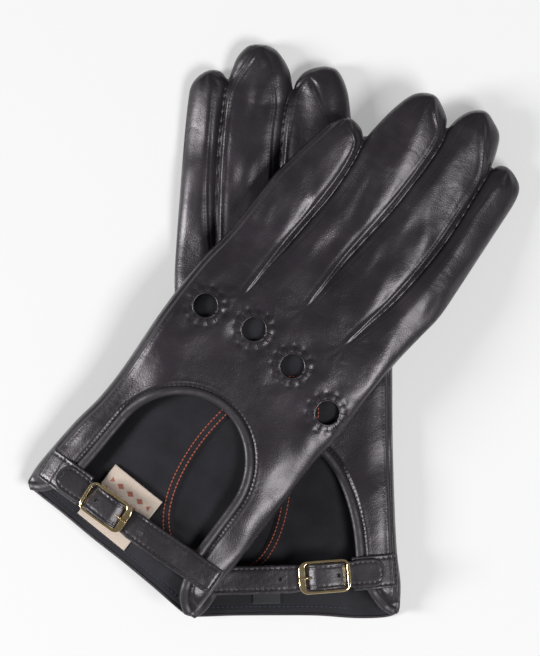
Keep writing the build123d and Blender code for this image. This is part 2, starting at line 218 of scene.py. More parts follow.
class Glove:
    """One glove's plan, heights and place."""

    def __init__(self, name, mirrored, outline, cuff, slots, keyhole, seed):
        self.name, self.mirrored, self.seed = name, mirrored, seed
        mounts = {m["name"]: m for m in frame["record"]["mounts"]}
        mount = mounts[f"{name}_hand_entry"]
        self.origin = np.array(mount["pos_m"][:2]) / MM
        v_dir = -np.array(mount["axis"][:2])
        self.v_dir = v_dir / np.linalg.norm(v_dir)
        self.u_dir = np.array([self.v_dir[1], -self.v_dir[0]]) * (-1 if mirrored else 1)
        self.on_top = not mirrored
        self.edge = curve_through(outline, 1.0)
        self.cuff = curve_through(cuff, 0.5)
        self.slots = [curve_through(s, 1.0) for s in slots]
        self.keyhole = keyhole
        self.body = f"{name}_glove"

    def plan(self, u, v):
        """Plan coordinates to x and y, all in mm."""
        u, v = np.asarray(u, float), np.asarray(v, float)
        return (self.origin[0] + u * self.u_dir[0] + v * self.v_dir[0],
                self.origin[1] + u * self.u_dir[1] + v * self.v_dir[1])

    def world(self, points):
        """Points (u, v, z) in mm to metres in the row frame."""
        p = np.asarray(points, float)
        x, y = self.plan(p[..., 0], p[..., 1])
        return np.stack([x, y, p[..., 2]], -1) * MM

    def cuff_v(self, u):
        """The cuff's edge, a little wavy and rounded at the corners."""
        return np.interp(u, self.cuff[:, 0], self.cuff[:, 1])

    def base(self, u, v):
        """Height of what the glove lies on: the floor, or the other glove."""
        if not self.on_top:
            return np.zeros(np.broadcast(u, v).shape)
        x, y = self.plan(u, v)
        lift = STACK_LIFT - (STACK_LIFT - STACK_LIFT_FINGERS) * smooth(y, -0.84, 44.16)
        for side, (start, bend, slope) in ((-1, DROP_LOW_X), (1, DROP_HIGH_X)):
            lift = lift - slope_drop(side * (x - start), bend, slope)
        return np.maximum(lift, 0.6)

    def palm(self, u, v):
        """Height of the palm, which comes up over the thumb."""
        over = smooth(u, -38, -13) * smooth(v, 0, 20) * (1 - smooth(v, 122, 146))
        return self.base(u, v) + THUMB_RISE * over

    def back(self, u, v):
        """Height of the back, before its folds and closed edges."""
        return self.base(u, v) + HAND_THICK - (HAND_THICK - FINGER_THICK) * smooth(v, 105, 145)

    def keyhole_path(self, grow):
        """The edge of the keyhole from the little side round the top to the index side."""
        half, shoulder, top = self.keyhole
        turn = np.linspace(math.pi, 0, 60)
        arch = np.column_stack([(half + grow) * np.cos(turn),
                                shoulder + (top + grow - shoulder) * np.sin(turn)])
        left = curve_through([(-40.6 - grow * 0.3, 0.9), (-36.0 - grow * 0.5, 2.9 + grow * 0.3),
                              (-32.4 - grow * 0.9, 6.6 + grow * 0.2), (-half - 3.4 - grow, 12.5),
                              (-half - 1.0 - grow, 20.0), (-half - grow, max(shoulder, 31.0))], 1.0)
        left = left[left[:, 1] < shoulder - 0.5]
        right = left[::-1] * (-1, 1)
        return np.vstack([left, arch, right])


# Outlines run from the cuff up the little side, over the fingertips and down the index side.
LEFT = Glove(
    name="left", mirrored=False,
    outline=[
        (-42.6, 2.2), (-43.4, 11), (-42.4, 32), (-40.7, 46), (-40.6, 62), (-42.6, 90), (-42.8, 114),
        (-41.3, 131), (-41.1, 157), (-40.1, 168), (-38.5, 179), (-36.4, 189), (-33, 194.7), (-30.0, 196.0),
        (-25.0, 195.2), (-21.6, 192.8), (-21.2, 197), (-20.3, 207), (-18.4, 216), (-15.6, 221),
        (-10.4, 224.0), (-5.5, 222.6), (-0.6, 219.6), (1.7, 216.6), (2.7, 223), (5.0, 228.3), (9.6, 232.0),
        (15.1, 230.7), (20.2, 227.8), (23.7, 221), (25.6, 215.6), (27.6, 218.6), (30.8, 220.0),
        (35.1, 219.2), (39.3, 216.6), (41.5, 211), (42.7, 199), (43.9, 184.6), (45.1, 170), (46.0, 156),
        (44.9, 144.6), (43.6, 130), (43.4, 110), (43.5, 98), (43.2, 69), (44.0, 45), (43.4, 25), (42.9, 8.7),
        (42.6, 2.6)],
    cuff=[(-42.6, 2.2), (-41.2, 0.6), (-38.0, 0.0), (-24, 0.3), (-8, 0.1), (8, 0.4), (22, 0.2),
          (34, -0.4), (39.5, -0.4), (41.8, 0.5), (42.6, 2.6)],
    slots=[[(-20, 120), (-18.8, 148), (-18.1, 166), (-19.0, 181), (-21.5, 193.5)],
           [(2.4, 132), (3.4, 155), (5.1, 182), (4.2, 207), (1.8, 217)],
           [(24.6, 129), (28.6, 151), (29.5, 180), (27.0, 205), (25.6, 216)]],
    keyhole=(26.5, 45.0, 73.0), seed=11,
)
RIGHT = Glove(
    name="right", mirrored=True,
    outline=[
        (-43.0, 3.0), (-43.4, 13), (-42.0, 29), (-41.3, 65), (-41.6, 97), (-42.0, 114), (-42.0, 150),
        (-41.5, 170), (-40.2, 183), (-37.5, 190), (-33.5, 192.2), (-30, 191.4), (-27.9, 189.0),
        (-27.0, 197), (-25.6, 210), (-22.4, 218), (-18.5, 220.3), (-13.6, 220.2), (-8.4, 218.3),
        (-5.0, 214.5), (-3.7, 211.5), (-2.4, 219), (1.5, 226), (5.4, 229), (9.4, 229.8), (14.0, 229.2),
        (18.3, 225.0), (20.8, 219.5), (22.4, 216.0), (25.2, 219.2), (29.6, 219.8), (34.0, 217.6),
        (37.2, 213.5), (38.6, 207), (40.5, 191), (42.4, 171), (44.2, 151), (45.3, 133), (44.4, 110),
        (43.4, 90), (43.2, 60), (43.4, 25), (42.8, 2.0)],
    cuff=[(-43.0, 3.0), (-42.2, 0.6), (-39.5, -1.0), (-34, -1.7), (-24, -1.6), (-10, -0.4), (6, 0.0),
          (24, 0.2), (38, 0.0), (41.6, 0.5), (42.8, 2.0)],
    slots=[[(-20, 120), (-23.3, 150), (-26.2, 178), (-27.9, 190)],
           [(3.4, 133), (3.2, 160), (2.2, 183), (-0.4, 203), (-3.7, 212.5)],
           [(27.2, 129), (28.5, 154), (26.9, 186), (24.4, 206), (22.4, 217)]],
    keyhole=(25.5, 22.0, 70.5), seed=41,
)
GLOVES = (RIGHT, LEFT)


# ---------- heights of the leather ----------

# Where each finger's seams meet, from the little finger to the index finger.
NUBS = {
    "left": ((-31.5, 195.2), (-10.4, 223.2), (9.8, 231.2), (31.5, 219.2)),
    "right": ((-34.0, 191.5), (-9.6, 217.6), (9.0, 229.0), (30.0, 219.0)),
}

# Soft dents and swellings of the back: u, v, width, height, depth.
DENTS = {
    "left": ((37.0, 64.0, 5.0, 7.0, 1.0), (35.0, 44.0, 6.0, 6.0, -0.6), (37.0, 30.0, 5.0, 7.0, 0.9),
             (36.0, 84.0, 6.0, 6.0, -0.5), (-5.3, 153.4, 4.0, 6.0, 0.8), (13.0, 143.0, 6.0, 7.0, 0.7),
             (33.0, 112.0, 7.0, 7.0, 0.7), (-35.0, 60.0, 5.0, 9.0, 0.5)),
    "right": ((-37.0, 60.0, 5.0, 8.0, 0.8), (-36.0, 38.0, 5.0, 6.0, -0.5), (35.0, 190.0, 6.0, 9.0, 0.6),
              (7.0, 200.0, 5.0, 12.0, 0.6), (-7.0, 204.0, 4.0, 12.0, 0.8), (-18.0, 200.0, 4.0, 9.0, -0.6)),
}


def dome(x, power=2.3):
    """0 at a closed edge, rounding up to 1."""
    return (1 - (1 - np.clip(x, 0, 1)) ** power) ** (1 / power)


def seam_paths(glove):
    """The seams on the back: (path, which side of it the back's leather is on, True for a raised edge)."""
    nubs = [np.array(n) for n in NUBS[glove.name]]
    seams = []
    for k, slot in enumerate(glove.slots):
        start = slot[0] + unit(slot[0] - slot[4]) * 7

        def beside(*places):
            return [moved_left(slot, offset)[int(share * (len(slot) - 1))] for share, offset in places]

        near = [start, *beside((0.08, -0.9), (0.25, -2.4), (0.5, -3.3), (0.75, -3.6), (0.9, -4.2)),
                nubs[k + 1] + (-3.2, -6.0), nubs[k + 1]]
        far = [start, *beside((0.08, 0.7), (0.25, 1.3), (0.5, 1.5), (0.75, 1.5), (0.94, 1.8)),
               0.45 * slot[-1] + 0.55 * nubs[k] + (0, -2.0), nubs[k]]
        seams.append((curve_through(near, 1.5), -1, False))
        seams.append((curve_through(far, 1.5), 1, True))
    little = glove.edge[(glove.edge[:, 1] < nubs[0][1] - 9) & (glove.edge[:, 0] < nubs[0][0])]
    little = moved_left(little[::3], -2.4)
    seams.append((np.vstack([little, nubs[0] + (-2.5, -1.6), nubs[0]]), -1, False))
    return seams


def edges(glove, u, v):
    """How far the points have come up from the closed edges, for the top and for the underside."""
    rim = Line(glove.edge, u, v, 16).distance
    radius = 12.5 - 1.5 * smooth(v, 110, 150)
    radius = radius * (1 + 0.28 * fractal(v / 26, u / 60, glove.seed + 3, 2) * (1 - smooth(v, 120, 160)))
    if glove.on_top:
        radius = radius * (1 - 0.45 * smooth(-u, 22, 34) * (1 - smooth(v, 90, 130)))
    gap = 1 - dome(rim / radius)
    # The index finger slopes broadly down to the fold at its outer side.
    index_side = smooth(v, 128, 150) * smooth(u, 22, 32)
    broad = 0.42 * (1 - dome(rim / 4.0)) + 0.58 * (1 - np.clip(rim / 13.5, 0, 1)) ** 2
    gap = gap * (1 - index_side) + broad * index_side
    gap_below = 1 - dome(rim / 5.5)
    for slot, gentle in zip(glove.slots, (0.36, 0.58, 0.58)):
        line = Line(slot, u, v, 16)
        away = line.distance
        deep = 0.74 * smooth(line.along, 0, 26)
        # The finger on the little side slopes gently to its raised seam, the next one rounds down to it.
        near = 1 - dome(away / 8.5, 2.0)
        far = (1 - gentle) * (1 - dome(away / 3.0)) + gentle * (1 - np.clip(away / 13.0, 0, 1)) ** 2
        side = smooth(line.signed, -0.8, 0.8)
        gap = np.hypot(gap, deep * (near * (1 - side) + far * side))
        gap_below = np.hypot(gap_below, 0.9 * deep * (1 - dome(away / 4.0)))
    return np.clip(1 - gap, 0, 1), np.clip(1 - gap_below, 0, 1)


def relief(glove, u, v):
    """Folds, seams and gathers of the back, in mm over the plain shape."""
    return (folds(glove, u, v) + seam_relief(glove, u, v) + knuckle_relief(u, v)
            + keyhole_relief(glove, u, v))


def folds(glove, u, v):
    """Broad folds, fine wrinkles, dents, and the gathers at the roots and tips of the fingers."""
    s = glove.seed
    finger = smooth(v, 118, 150)
    z = (1.25 * fractal(u / 21 + v / 70, v / 30, s, 2) * (1 - finger)
         + 1.35 * fractal(u / 11.5 + v / 60, v / 21, s + 5, 2) * finger)
    warp_u = u + 3.0 * fractal(u / 15, v / 15, s + 8)
    warp_v = v + 3.0 * fractal(u / 15, v / 15, s + 9)
    patch = smooth(fractal(u / 26, v / 26, s + 11), -0.1, 0.45)
    z += 0.10 * patch * fractal(warp_u / 7.0, warp_v / 4.2, s + 13)
    z -= 0.05 * patch * smooth(creases(warp_u / 11, warp_v / 6.0, s + 14), 0.55, 1)
    for du, dv, wide, high, deep in DENTS[glove.name]:
        z -= deep * np.exp(-((u - du) / wide) ** 2 - ((v - dv) / high) ** 2)
    for k, slot in enumerate(glove.slots):
        root = slot[0] + unit(slot[0] - slot[4]) * 6
        du, dv = u - root[0], v - root[1]
        r = np.hypot(du, dv) + 1e-6
        angle = np.arctan2(du, -dv)
        rays = np.cos(angle * 9 + 2.2 * noise(r / 7, angle * 2 + k, s + 20 + k))
        fan = smooth(2.7 - np.abs(angle), 0, 0.8) * smooth(r, 1.0, 5.0)
        z += 0.035 * rays * gauss(r - 5.0, 6.5) * fan - 0.7 * gauss(r, 8.0)
    for nub in NUBS[glove.name]:
        r = np.hypot(u - nub[0], v - nub[1])
        angle = np.arctan2(u - nub[0], nub[1] - v)
        z += 0.22 * np.cos(angle * 7) * gauss(r - 4, 3.4) + 0.35 * gauss(r, 1.6)
    return z


def seam_relief(glove, u, v):
    """The edges and pulled-in stitches of the seams; the last one runs down the little side."""
    z = 0
    for k, (path, back_side, raised) in enumerate(glove.seams):
        line = Line(path, u, v, 14)
        a = line.signed * back_side
        ripple = np.cos(2 * math.pi * line.along / STITCH_PITCH)
        if raised:
            edge = 0.40 * gauss(a - 0.7, 0.7) - 0.35 * gauss(a + 0.35, 0.45) - 0.12 * gauss(a - 2.2, 0.7)
        else:
            edge = 0.20 * np.tanh(a / 0.3) * np.exp(-np.abs(a) / 3) - 0.22 * gauss(a, 0.45)
        if k == len(glove.seams) - 1:
            edge = edge + 0.30 * gauss(a - 0.55, 0.40) + 0.34 * gauss(a + 1.5, 0.45) - 0.20 * gauss(a + 0.5, 0.5)
        edge = edge - (0.10 + 0.03 * ripple) * gauss(a - STITCH_INSET, 0.40)
        edge = edge + 0.07 * fractal(line.along / 4.5, a / 6, glove.seed + 31) * gauss(a - 3, 4)
        z = z + line.ends(7) * edge
    return z


def knuckle_relief(u, v):
    """The leather gathered round the knuckle holes."""
    z = 0
    for k, (ku, kv) in enumerate(KNUCKLES):
        r = np.hypot(u - ku, v - kv)
        angle = np.arctan2(v - kv, u - ku) + 0.4 * k
        lobes = 0.5 + 0.5 * np.cos(12 * angle)
        z = z + 0.22 * gauss(r - 6.2, 1.3) * (0.5 + 0.5 * lobes) - 0.55 * gauss(r - 4.0, 7.0)
        z = z - 0.26 * gauss(r - 8.1, 1.0) * (1.1 - lobes) - 0.12 * gauss(r - 9.4, 2.6)
        z = z + 0.16 * np.cos(6 * angle + k) * gauss(r - 11.5, 2.8)
    return z


def keyhole_relief(glove, u, v):
    """The step down to the rolled edge, its row of stitches and the gathers beside it."""
    gap = keyhole_gap(glove, u, v)
    run = keyhole_line(glove, u, v).along
    pulled = 0.5 + 0.5 * np.cos(2 * math.pi * run / STITCH_PITCH)
    gathers = 0.06 * fractal(gap / 5, run / 3.0, glove.seed + 37) * gauss(gap - 6.0, 3.0)
    return (-0.5 * smooth(4.4 - gap, 0, 0.8) - (0.22 + 0.20 * pulled) * gauss(gap - KEYHOLE_ROW, 0.5)
            + 0.14 * gauss(gap - 5.3, 0.8) + gathers - 0.5 * np.exp(-np.maximum(gap, 0) / 9))


def keyhole_gap(glove, u, v):
    """Distance outside the keyhole's finished edge, negative in the keyhole."""
    line = keyhole_line(glove, u, v)
    closed = np.vstack([glove.keyhole_path(0), [[45, -9], [-45, -9]]])
    return np.where(inside(closed, u, v), -line.distance, line.distance)


def keyhole_line(glove, u, v):
    """Distances from the keyhole's finished edge, and the run along it."""
    return Line(glove.keyhole_path(0), u, v, 22)


def top_height(glove, u, v):
    """Height of the back's outer face."""
    u, v = np.asarray(u, float), np.asarray(v, float)
    up, _ = edges(glove, u, v)
    up = up * (0.12 + 0.88 * smooth(v, -1.0, 10.0))
    base, back = glove.base(u, v), glove.back(u, v)
    seam = base + SEAM_LEVEL * (back - base)
    shape = relief(glove, u, v)
    shape = np.where(shape > 0.4, 0.4 + 0.6 * np.tanh((shape - 0.4) / 0.6), shape)
    return seam + (back - 0.75 - seam) * up + shape * smooth(up, 0.0, 0.42)


def under_height(glove, u, v):
    """Height of the palm's outer face."""
    u, v = np.asarray(u, float), np.asarray(v, float)
    _, down = edges(glove, u, v)
    base, palm, back = glove.base(u, v), glove.palm(u, v), glove.back(u, v)
    over_thumb = palm - base
    seam = base + SEAM_LEVEL * (back - base)
    soft = 0.5 * (fractal(u / 22, v / 30, glove.seed + 50) + 1) * smooth(over_thumb, 0.5, 3.5)
    soft = (soft + 0.8 * smooth(over_thumb, 1.0, 4.0)) * smooth(down, 0.0, 0.5)
    # Under the knuckles the palm comes up close to the back.
    middle = smooth(v, 66, 92) * (1 - smooth(v, 116, 134)) * smooth(u + 43, 3, 12) * smooth(43 - u, 3, 12)
    soft = soft + (2.9 + 3.3 * (1 - smooth(u, -30, -13))) * middle
    # The thumb's leather lies a little under the palm's inside the seam.
    oval = oval_gap(u, v)
    sunk = 0.9 * smooth(-oval, -0.3, 0.9) - 0.35 * gauss(oval - 1.8, 1.6)
    z = seam - (seam - palm - 0.05) * down + soft - sunk * smooth(over_thumb, 1.0, 3.0)
    return np.maximum(z, base + 0.03)


def oval_gap(u, v):
    """Distance outside the seam of the thumb."""
    cu, cv, a, b = THUMB_SEAM
    k = np.hypot((u - cu) / a, (v - cv) / b) + 1e-9
    size = np.hypot((u - cu) / a ** 2, (v - cv) / b ** 2) + 1e-9
    return k * (k - 1) / size


# ---------- meshes ----------

def new_object(name, points, faces, materials, indices=None):
    """A smooth-shaded mesh in the scene; indices say which material each face has."""
    mesh = bpy.data.meshes.new(name)
    mesh.from_pydata([tuple(p) for p in points], [], [tuple(int(k) for k in f) for f in faces])
    for m in materials:
        mesh.materials.append(m)
    if indices is not None:
        mesh.polygons.foreach_set("material_index", np.asarray(indices, np.int32))
    mesh.polygons.foreach_set("use_smooth", np.full(len(mesh.polygons), True))
    mesh.update()
    obj = bpy.data.objects.new(name, mesh)
    bpy.context.scene.collection.objects.link(obj)
    return obj


def snapped(u, v, gap, cell):
    """Moves the points near the zero of gap onto it; gap is positive inside. Returns u, v and who is kept."""
    step, reach = cell * 0.25, cell * 0.56
    value = gap(u, v)
    near = np.abs(value) < reach * 1.05
    un, vn = u[near].copy(), v[near].copy()
    for _ in range(2):
        f = gap(un, vn)
        gx = (gap(un + step, vn) - gap(un - step, vn)) / (2 * step)
        gy = (gap(un, vn + step) - gap(un, vn - step)) / (2 * step)
        size = np.maximum(gx ** 2 + gy ** 2, 0.25)
        un, vn = un - f * gx / size, vn - f * gy / size
    moved = np.hypot(un - u[near], vn - v[near]) < reach * 1.6
    u, v = u.copy(), v.copy()
    idx = np.flatnonzero(near.ravel())[moved]
    u.ravel()[idx], v.ravel()[idx] = un[moved], vn[moved]
    kept = value > 0
    kept.ravel()[idx] = True
    on_edge = np.zeros(u.shape, bool)
    on_edge.ravel()[idx] = True
    return u, v, kept, on_edge


def cells(kept, on_edge, u, v, gap):
    """Quads and triangles over the kept grid points, as indices into the grid."""
    nv, nu = kept.shape
    index = np.arange(nv * nu).reshape(nv, nu)
    c = np.stack([index[:-1, :-1], index[:-1, 1:], index[1:, 1:], index[1:, :-1]], -1).reshape(-1, 4)
    ok, edge = kept.ravel()[c], on_edge.ravel()[c]
    count = ok.sum(1)

    def really_inside(faces):
        return faces[gap(u.ravel()[faces].mean(1), v.ravel()[faces].mean(1)) > 0.02]

    quads = c[(count == 4) & ~edge.all(1)]
    tris = really_inside(c[count == 3][ok[count == 3]].reshape(-1, 3))
    full = c[(count == 4) & edge.all(1)]
    if len(full):
        quads = np.vstack([quads, really_inside(full)])
    return quads, tris


def slab_faces(glove, rows, columns):
    """Faces of a grid of points, row by row, and of its copy below, closed round the rim."""
    below = rows * columns
    faces = []
    for j in range(rows - 1):
        for i in range(columns - 1):
            k = j * columns + i
            f = [k, k + 1, k + columns + 1, k + columns]
            faces += [f, [q + below for q in f[::-1]]]
    rim = (list(range(columns)) + [j * columns + columns - 1 for j in range(1, rows)]
           + [(rows - 1) * columns + i for i in range(columns - 2, -1, -1)]
           + [j * columns for j in range(rows - 2, 0, -1)])
    faces += [[b, a, a + below, b + below] for a, b in zip(rim, rim[1:] + rim[:1])]
    return [f[::-1] for f in faces] if glove.mirrored else faces


def ring_faces(rings, sides, flipped):
    """Faces of a row of rings of points, closed at both ends."""
    faces = []
    for k in range(rings - 1):
        for j in range(sides):
            n = (j + 1) % sides
            faces.append((k * sides + j, k * sides + n, (k + 1) * sides + n, (k + 1) * sides + j))
    faces += [tuple(range(sides))[::-1], tuple((rings - 1) * sides + j for j in range(sides))]
    return [f[::-1] for f in faces] if flipped else faces


def outline_gap(glove):
    """Distance inside the glove's outline and outside the gaps between its fingers."""
    ring = np.vstack([glove.edge, glove.cuff[::-1]])

    def gap(u, v):
        d = Line(ring, u, v, 6).distance
        return np.minimum(d, 6) * np.where(inside(ring, u, v), 1, -1)
    return gap


def holes_gap(glove):
    """Distance outside the keyhole's cut edge and the knuckle holes."""
    def gap(u, v):
        d = np.minimum(keyhole_gap(glove, u, v), 6) - 1.2
        for ku, kv in KNUCKLES:
            d = np.minimum(d, np.hypot(u - ku, v - kv) - KNUCKLE_HOLE)
        return d
    return gap


def normals_of(points, quads, tris):
    """Normals of the points, from the faces round each, the larger faces weighing more."""
    n = np.zeros_like(points)
    for f, a, b, c, d in ((quads, 0, 2, 1, 3), (tris, 0, 1, 0, 2)):
        across = np.cross(points[f[:, b]] - points[f[:, a]], points[f[:, d]] - points[f[:, c]])
        for k in range(f.shape[1]):
            np.add.at(n, f[:, k], across)
    return n / (np.linalg.norm(n, axis=1)[:, None] + 1e-30)


def face_sides(faces):
    """Every side of every face, as a pair of points."""
    return np.stack([faces, np.roll(faces, -1, axis=1)], -1).reshape(-1, 2)


class Surface:
    """The whole leather surface of one glove: outer points, inner points, normals and faces."""

    def __init__(self, glove):
        u, v = np.meshgrid(np.arange(-46, 48.5, CELL), np.arange(-2.0, 235, CELL))
        whole, holes = outline_gap(glove), holes_gap(glove)
        u, v, kept, rim = snapped(u, v, whole, CELL)
        top_u, top_v, not_hole, hole_rim = snapped(u, v, holes, CELL)
        top_u, top_v = np.where(rim, u, top_u), np.where(rim, v, top_v)
        top_kept = kept & not_hole
        top = cells(top_kept, rim | hole_rim, top_u, top_v, lambda a, b: np.minimum(whole(a, b), holes(a, b)))
        low = cells(kept, rim, u, v, whole)
        self.size = size = u.size

        def heights(faces, height, at_u, at_v):
            used = np.unique(np.r_[faces[0].ravel(), faces[1].ravel()])
            z = np.zeros(size)
            z[used] = height(glove, at_u.ravel()[used], at_v.ravel()[used])
            return z

        z_top, z_low = heights(top, top_height, top_u, top_v), heights(low, under_height, u, v)
        room = np.abs(z_top - z_low)
        # Both sides share the points of the closed edge; the cuff stays open.
        nearest = np.where(v.ravel() > 5, 2.5, 0.35)
        shared = rim.ravel() & (room < nearest) & top_kept.ravel()
        self.points = np.vstack([np.column_stack([top_u.ravel(), top_v.ravel(), z_top]),
                                 np.column_stack([u.ravel(), v.ravel(), z_low])])
        self.points[:size, 2][shared] = (0.5 * (z_top + z_low))[shared]
        low_index = np.where(shared, np.arange(size), np.arange(size) + size)
        self.at_fold = np.r_[shared, np.zeros(size, bool)]
        low = [low_index[f] for f in low]
        if glove.mirrored:
            top = [f[:, ::-1] for f in top]
        else:
            low = [f[:, ::-1] for f in low]
        self.top, self.low = top, low
        self.quads, self.tris = np.vstack([top[0], low[0]]), np.vstack([top[1], low[1]])
        self.outer = glove.world(self.points)
        self.normal = normals_of(self.outer, self.quads, self.tris)
        thick = np.clip(np.r_[room, room] * 0.4, 0.05, LEATHER)
        thick[:size][~kept.ravel()] = LEATHER
        self.inner = self.outer - self.normal * (thick * MM)[:, None]
        # Real edges of the leather: the sides of one face only.
        every = self.codes(np.vstack([face_sides(self.quads), face_sides(self.tris)]))
        code, count = np.unique(every, return_counts=True)
        self.open_codes = code[count == 1]

    def codes(self, pairs):
        """One number for each side, whichever way it runs."""
        pairs = np.sort(pairs, axis=1)
        return pairs[:, 0] * (2 * self.size) + pairs[:, 1]


PIECES = ("back_panel", "palm_panel", "fourchette_ring_little", "fourchette_middle_ring",
          "fourchette_index_middle")


def piece_of(glove, surface, faces, on_top):
    """Which of the pieces each face belongs to."""
    u, v = surface.points[faces, 0].mean(1), surface.points[faces, 1].mean(1)
    piece = np.full(len(faces), 0 if on_top else 1)
    if on_top:
        side = Line(glove.side_seam, u, v, 12)
        piece[(side.signed > 0) & (side.distance < 12) & (u < -20)] = 1
    for k, slot in enumerate(glove.slots):
        if on_top:
            area = np.vstack([glove.seams[2 * k][0], glove.seams[2 * k + 1][0][::-1]])
        else:
            area = np.vstack([moved_left(slot, 1.6), moved_left(slot, -1.6)[::-1]])
        piece[inside(area, u, v)] = 2 + k
    return piece


def skin(glove):
    """The back, fourchettes and palm of one glove, as pieces of one leather surface."""
    surface = Surface(glove)
    points, size = surface.points, surface.size
    piece = [np.r_[piece_of(glove, surface, surface.top[k], True), piece_of(glove, surface, surface.low[k], False)]
             for k in range(2)]
    for number, name in enumerate(PIECES):
        faces, material = [], []
        for f in (surface.quads[piece[0] == number], surface.tris[piece[1] == number]):
            faces += f.tolist()
            lined = f[(points[f, 1].mean(1) < LINED_UP_TO) & ~surface.at_fold[f].any(1)]
            faces += (lined[:, ::-1] + 2 * size).tolist()
            pairs = face_sides(f)
            border = pairs[np.isin(surface.codes(pairs), surface.open_codes)]
            faces += [[b, a, a + 2 * size, b + 2 * size] for a, b in border.tolist()]
            material += [0] * len(f) + [1] * len(lined) + [0] * len(border)
        used = np.unique(np.concatenate([np.ravel(f) for f in faces]))
        lookup = np.zeros(4 * size, np.int64)
        lookup[used] = np.arange(len(used))
        obj = new_object(f"{glove.name}_{name}_skin", np.vstack([surface.outer, surface.inner])[used],
                         [lookup[f].tolist() for f in faces], [LEATHER_MAT, SUEDE_MAT], material)
        both = np.vstack([surface.normal, -surface.normal])
        obj.data.normals_split_custom_set_from_vertices(both[used].tolist())
        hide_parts(f"{glove.name}_{name}")
        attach(obj, glove.body)


# ---------- materials ----------

def node_material(name, **settings):
    """A principled material with its nodes, ready for bump and colour."""
    mat = bpy.data.materials.new(name)
    mat.use_nodes = True
    tree = mat.node_tree
    shader = tree.nodes["Principled BSDF"]
    for key, value in settings.items():
        shader.inputs[key.replace("_", " ")].default_value = value
    return mat, tree, shader


def texture(tree, kind, scale, **settings):
    """A texture node in the object's own metres."""
    where = tree.nodes.get("where") or tree.nodes.new("ShaderNodeTexCoord")
    where.name = "where"
    node = tree.nodes.new(kind)
    node.inputs["Scale"].default_value = scale
    for key, value in settings.items():
        if key in node.inputs:
            node.inputs[key].default_value = value
        else:
            setattr(node, key, value)
    tree.links.new(where.outputs["Object"], node.inputs["Vector"])
    return node


def ramp(tree, source, stops):
    """The source as a colour between the stops (position, colour)."""
    node = tree.nodes.new("ShaderNodeValToRGB")
    for element, (position, color) in zip(node.color_ramp.elements, stops):
        element.position, element.color = position, (*color, 1)
    tree.links.new(source, node.inputs["Fac"])
    return node.outputs["Color"]


def spread(tree, source, low, high):
    """The source, 0.3 to 0.7, spread over low to high."""
    node = tree.nodes.new("ShaderNodeMapRange")
    node.inputs["From Min"].default_value, node.inputs["From Max"].default_value = 0.3, 0.7
    node.inputs["To Min"].default_value, node.inputs["To Max"].default_value = low, high
    tree.links.new(source, node.inputs["Value"])
    return node.outputs["Result"]


def bump(tree, shader, layers):
    """Bump layers (source, strength, distance in metres, inverted), fine to coarse."""
    last = None
    for source, strength, distance, invert in layers:
        node = tree.nodes.new("ShaderNodeBump")
        node.invert = invert
        node.inputs["Strength"].default_value = strength
        node.inputs["Distance"].default_value = distance
        tree.links.new(source, node.inputs["Height"])
        if last:
            tree.links.new(last.outputs["Normal"], node.inputs["Normal"])
        last = node
    tree.links.new(last.outputs["Normal"], shader.inputs["Normal"])


def leather(name, dark, light, rough, shine=0.2, wrinkled=0.35):
    """Glazed leather: cloudy colour, patches of shine, and a bump of grain, pores and wrinkles."""
    mat, tree, shader = node_material(name, Coat_Weight=shine, Coat_Roughness=0.30, IOR=1.5,
                                      Specular_Tint=(1.0, 0.93, 1.0, 1))
    cloud = texture(tree, "ShaderNodeTexNoise", 42, Detail=5.0, Roughness=0.6)
    patches = texture(tree, "ShaderNodeTexNoise", 60, Detail=4.0)
    pores = texture(tree, "ShaderNodeTexVoronoi", 1100, feature="DISTANCE_TO_EDGE")
    grain = texture(tree, "ShaderNodeTexNoise", 1500, Detail=4.0, Roughness=0.65)
    wrinkle = texture(tree, "ShaderNodeTexNoise", 230, Detail=5.0, Roughness=0.62, Distortion=0.6)
    tree.links.new(ramp(tree, cloud.outputs["Fac"], [(0.32, dark), (0.7, light)]), shader.inputs["Base Color"])
    tree.links.new(spread(tree, patches.outputs["Fac"], rough - 0.07, rough + 0.09), shader.inputs["Roughness"])
    bump(tree, shader, [
        (grain.outputs["Fac"], 0.45, 0.00012, False),
        (pores.outputs["Distance"], 0.40, 0.00014, False),
        (wrinkle.outputs["Fac"], wrinkled, 0.00035, False),
    ])
    return mat


def suede(name, dark, light):
    """The leather's napped inner side, matt with a faint sheen."""
    mat, tree, shader = node_material(name, Sheen_Weight=0.10, Sheen_Roughness=0.5, Specular_IOR_Level=0.3,
                                      Sheen_Tint=(0.85, 0.85, 1.0, 1))
    nap = texture(tree, "ShaderNodeTexNoise", 1900, Detail=4.0, Roughness=0.7)
    cloud = texture(tree, "ShaderNodeTexNoise", 90, Detail=4.0)
    tree.links.new(ramp(tree, cloud.outputs["Fac"], [(0.35, dark), (0.68, light)]), shader.inputs["Base Color"])
    tree.links.new(spread(tree, nap.outputs["Fac"], 0.82, 0.97), shader.inputs["Roughness"])
    bump(tree, shader, [(nap.outputs["Fac"], 0.5, 0.00012, False), (cloud.outputs["Fac"], 0.3, 0.0005, False)])
    return mat


def thread(name, dark, light, rough=0.55):
    """Twisted thread."""
    mat, tree, shader = node_material(name, Specular_IOR_Level=0.35)
    ply = texture(tree, "ShaderNodeTexWave", 1500, Distortion=1.5, bands_direction="DIAGONAL")
    tree.links.new(ramp(tree, ply.outputs["Fac"], [(0.2, dark), (0.8, light)]), shader.inputs["Base Color"])
    tree.links.new(spread(tree, ply.outputs["Fac"], rough - 0.08, rough + 0.12), shader.inputs["Roughness"])
    bump(tree, shader, [(ply.outputs["Fac"], 0.5, 0.00008, False)])
    return mat


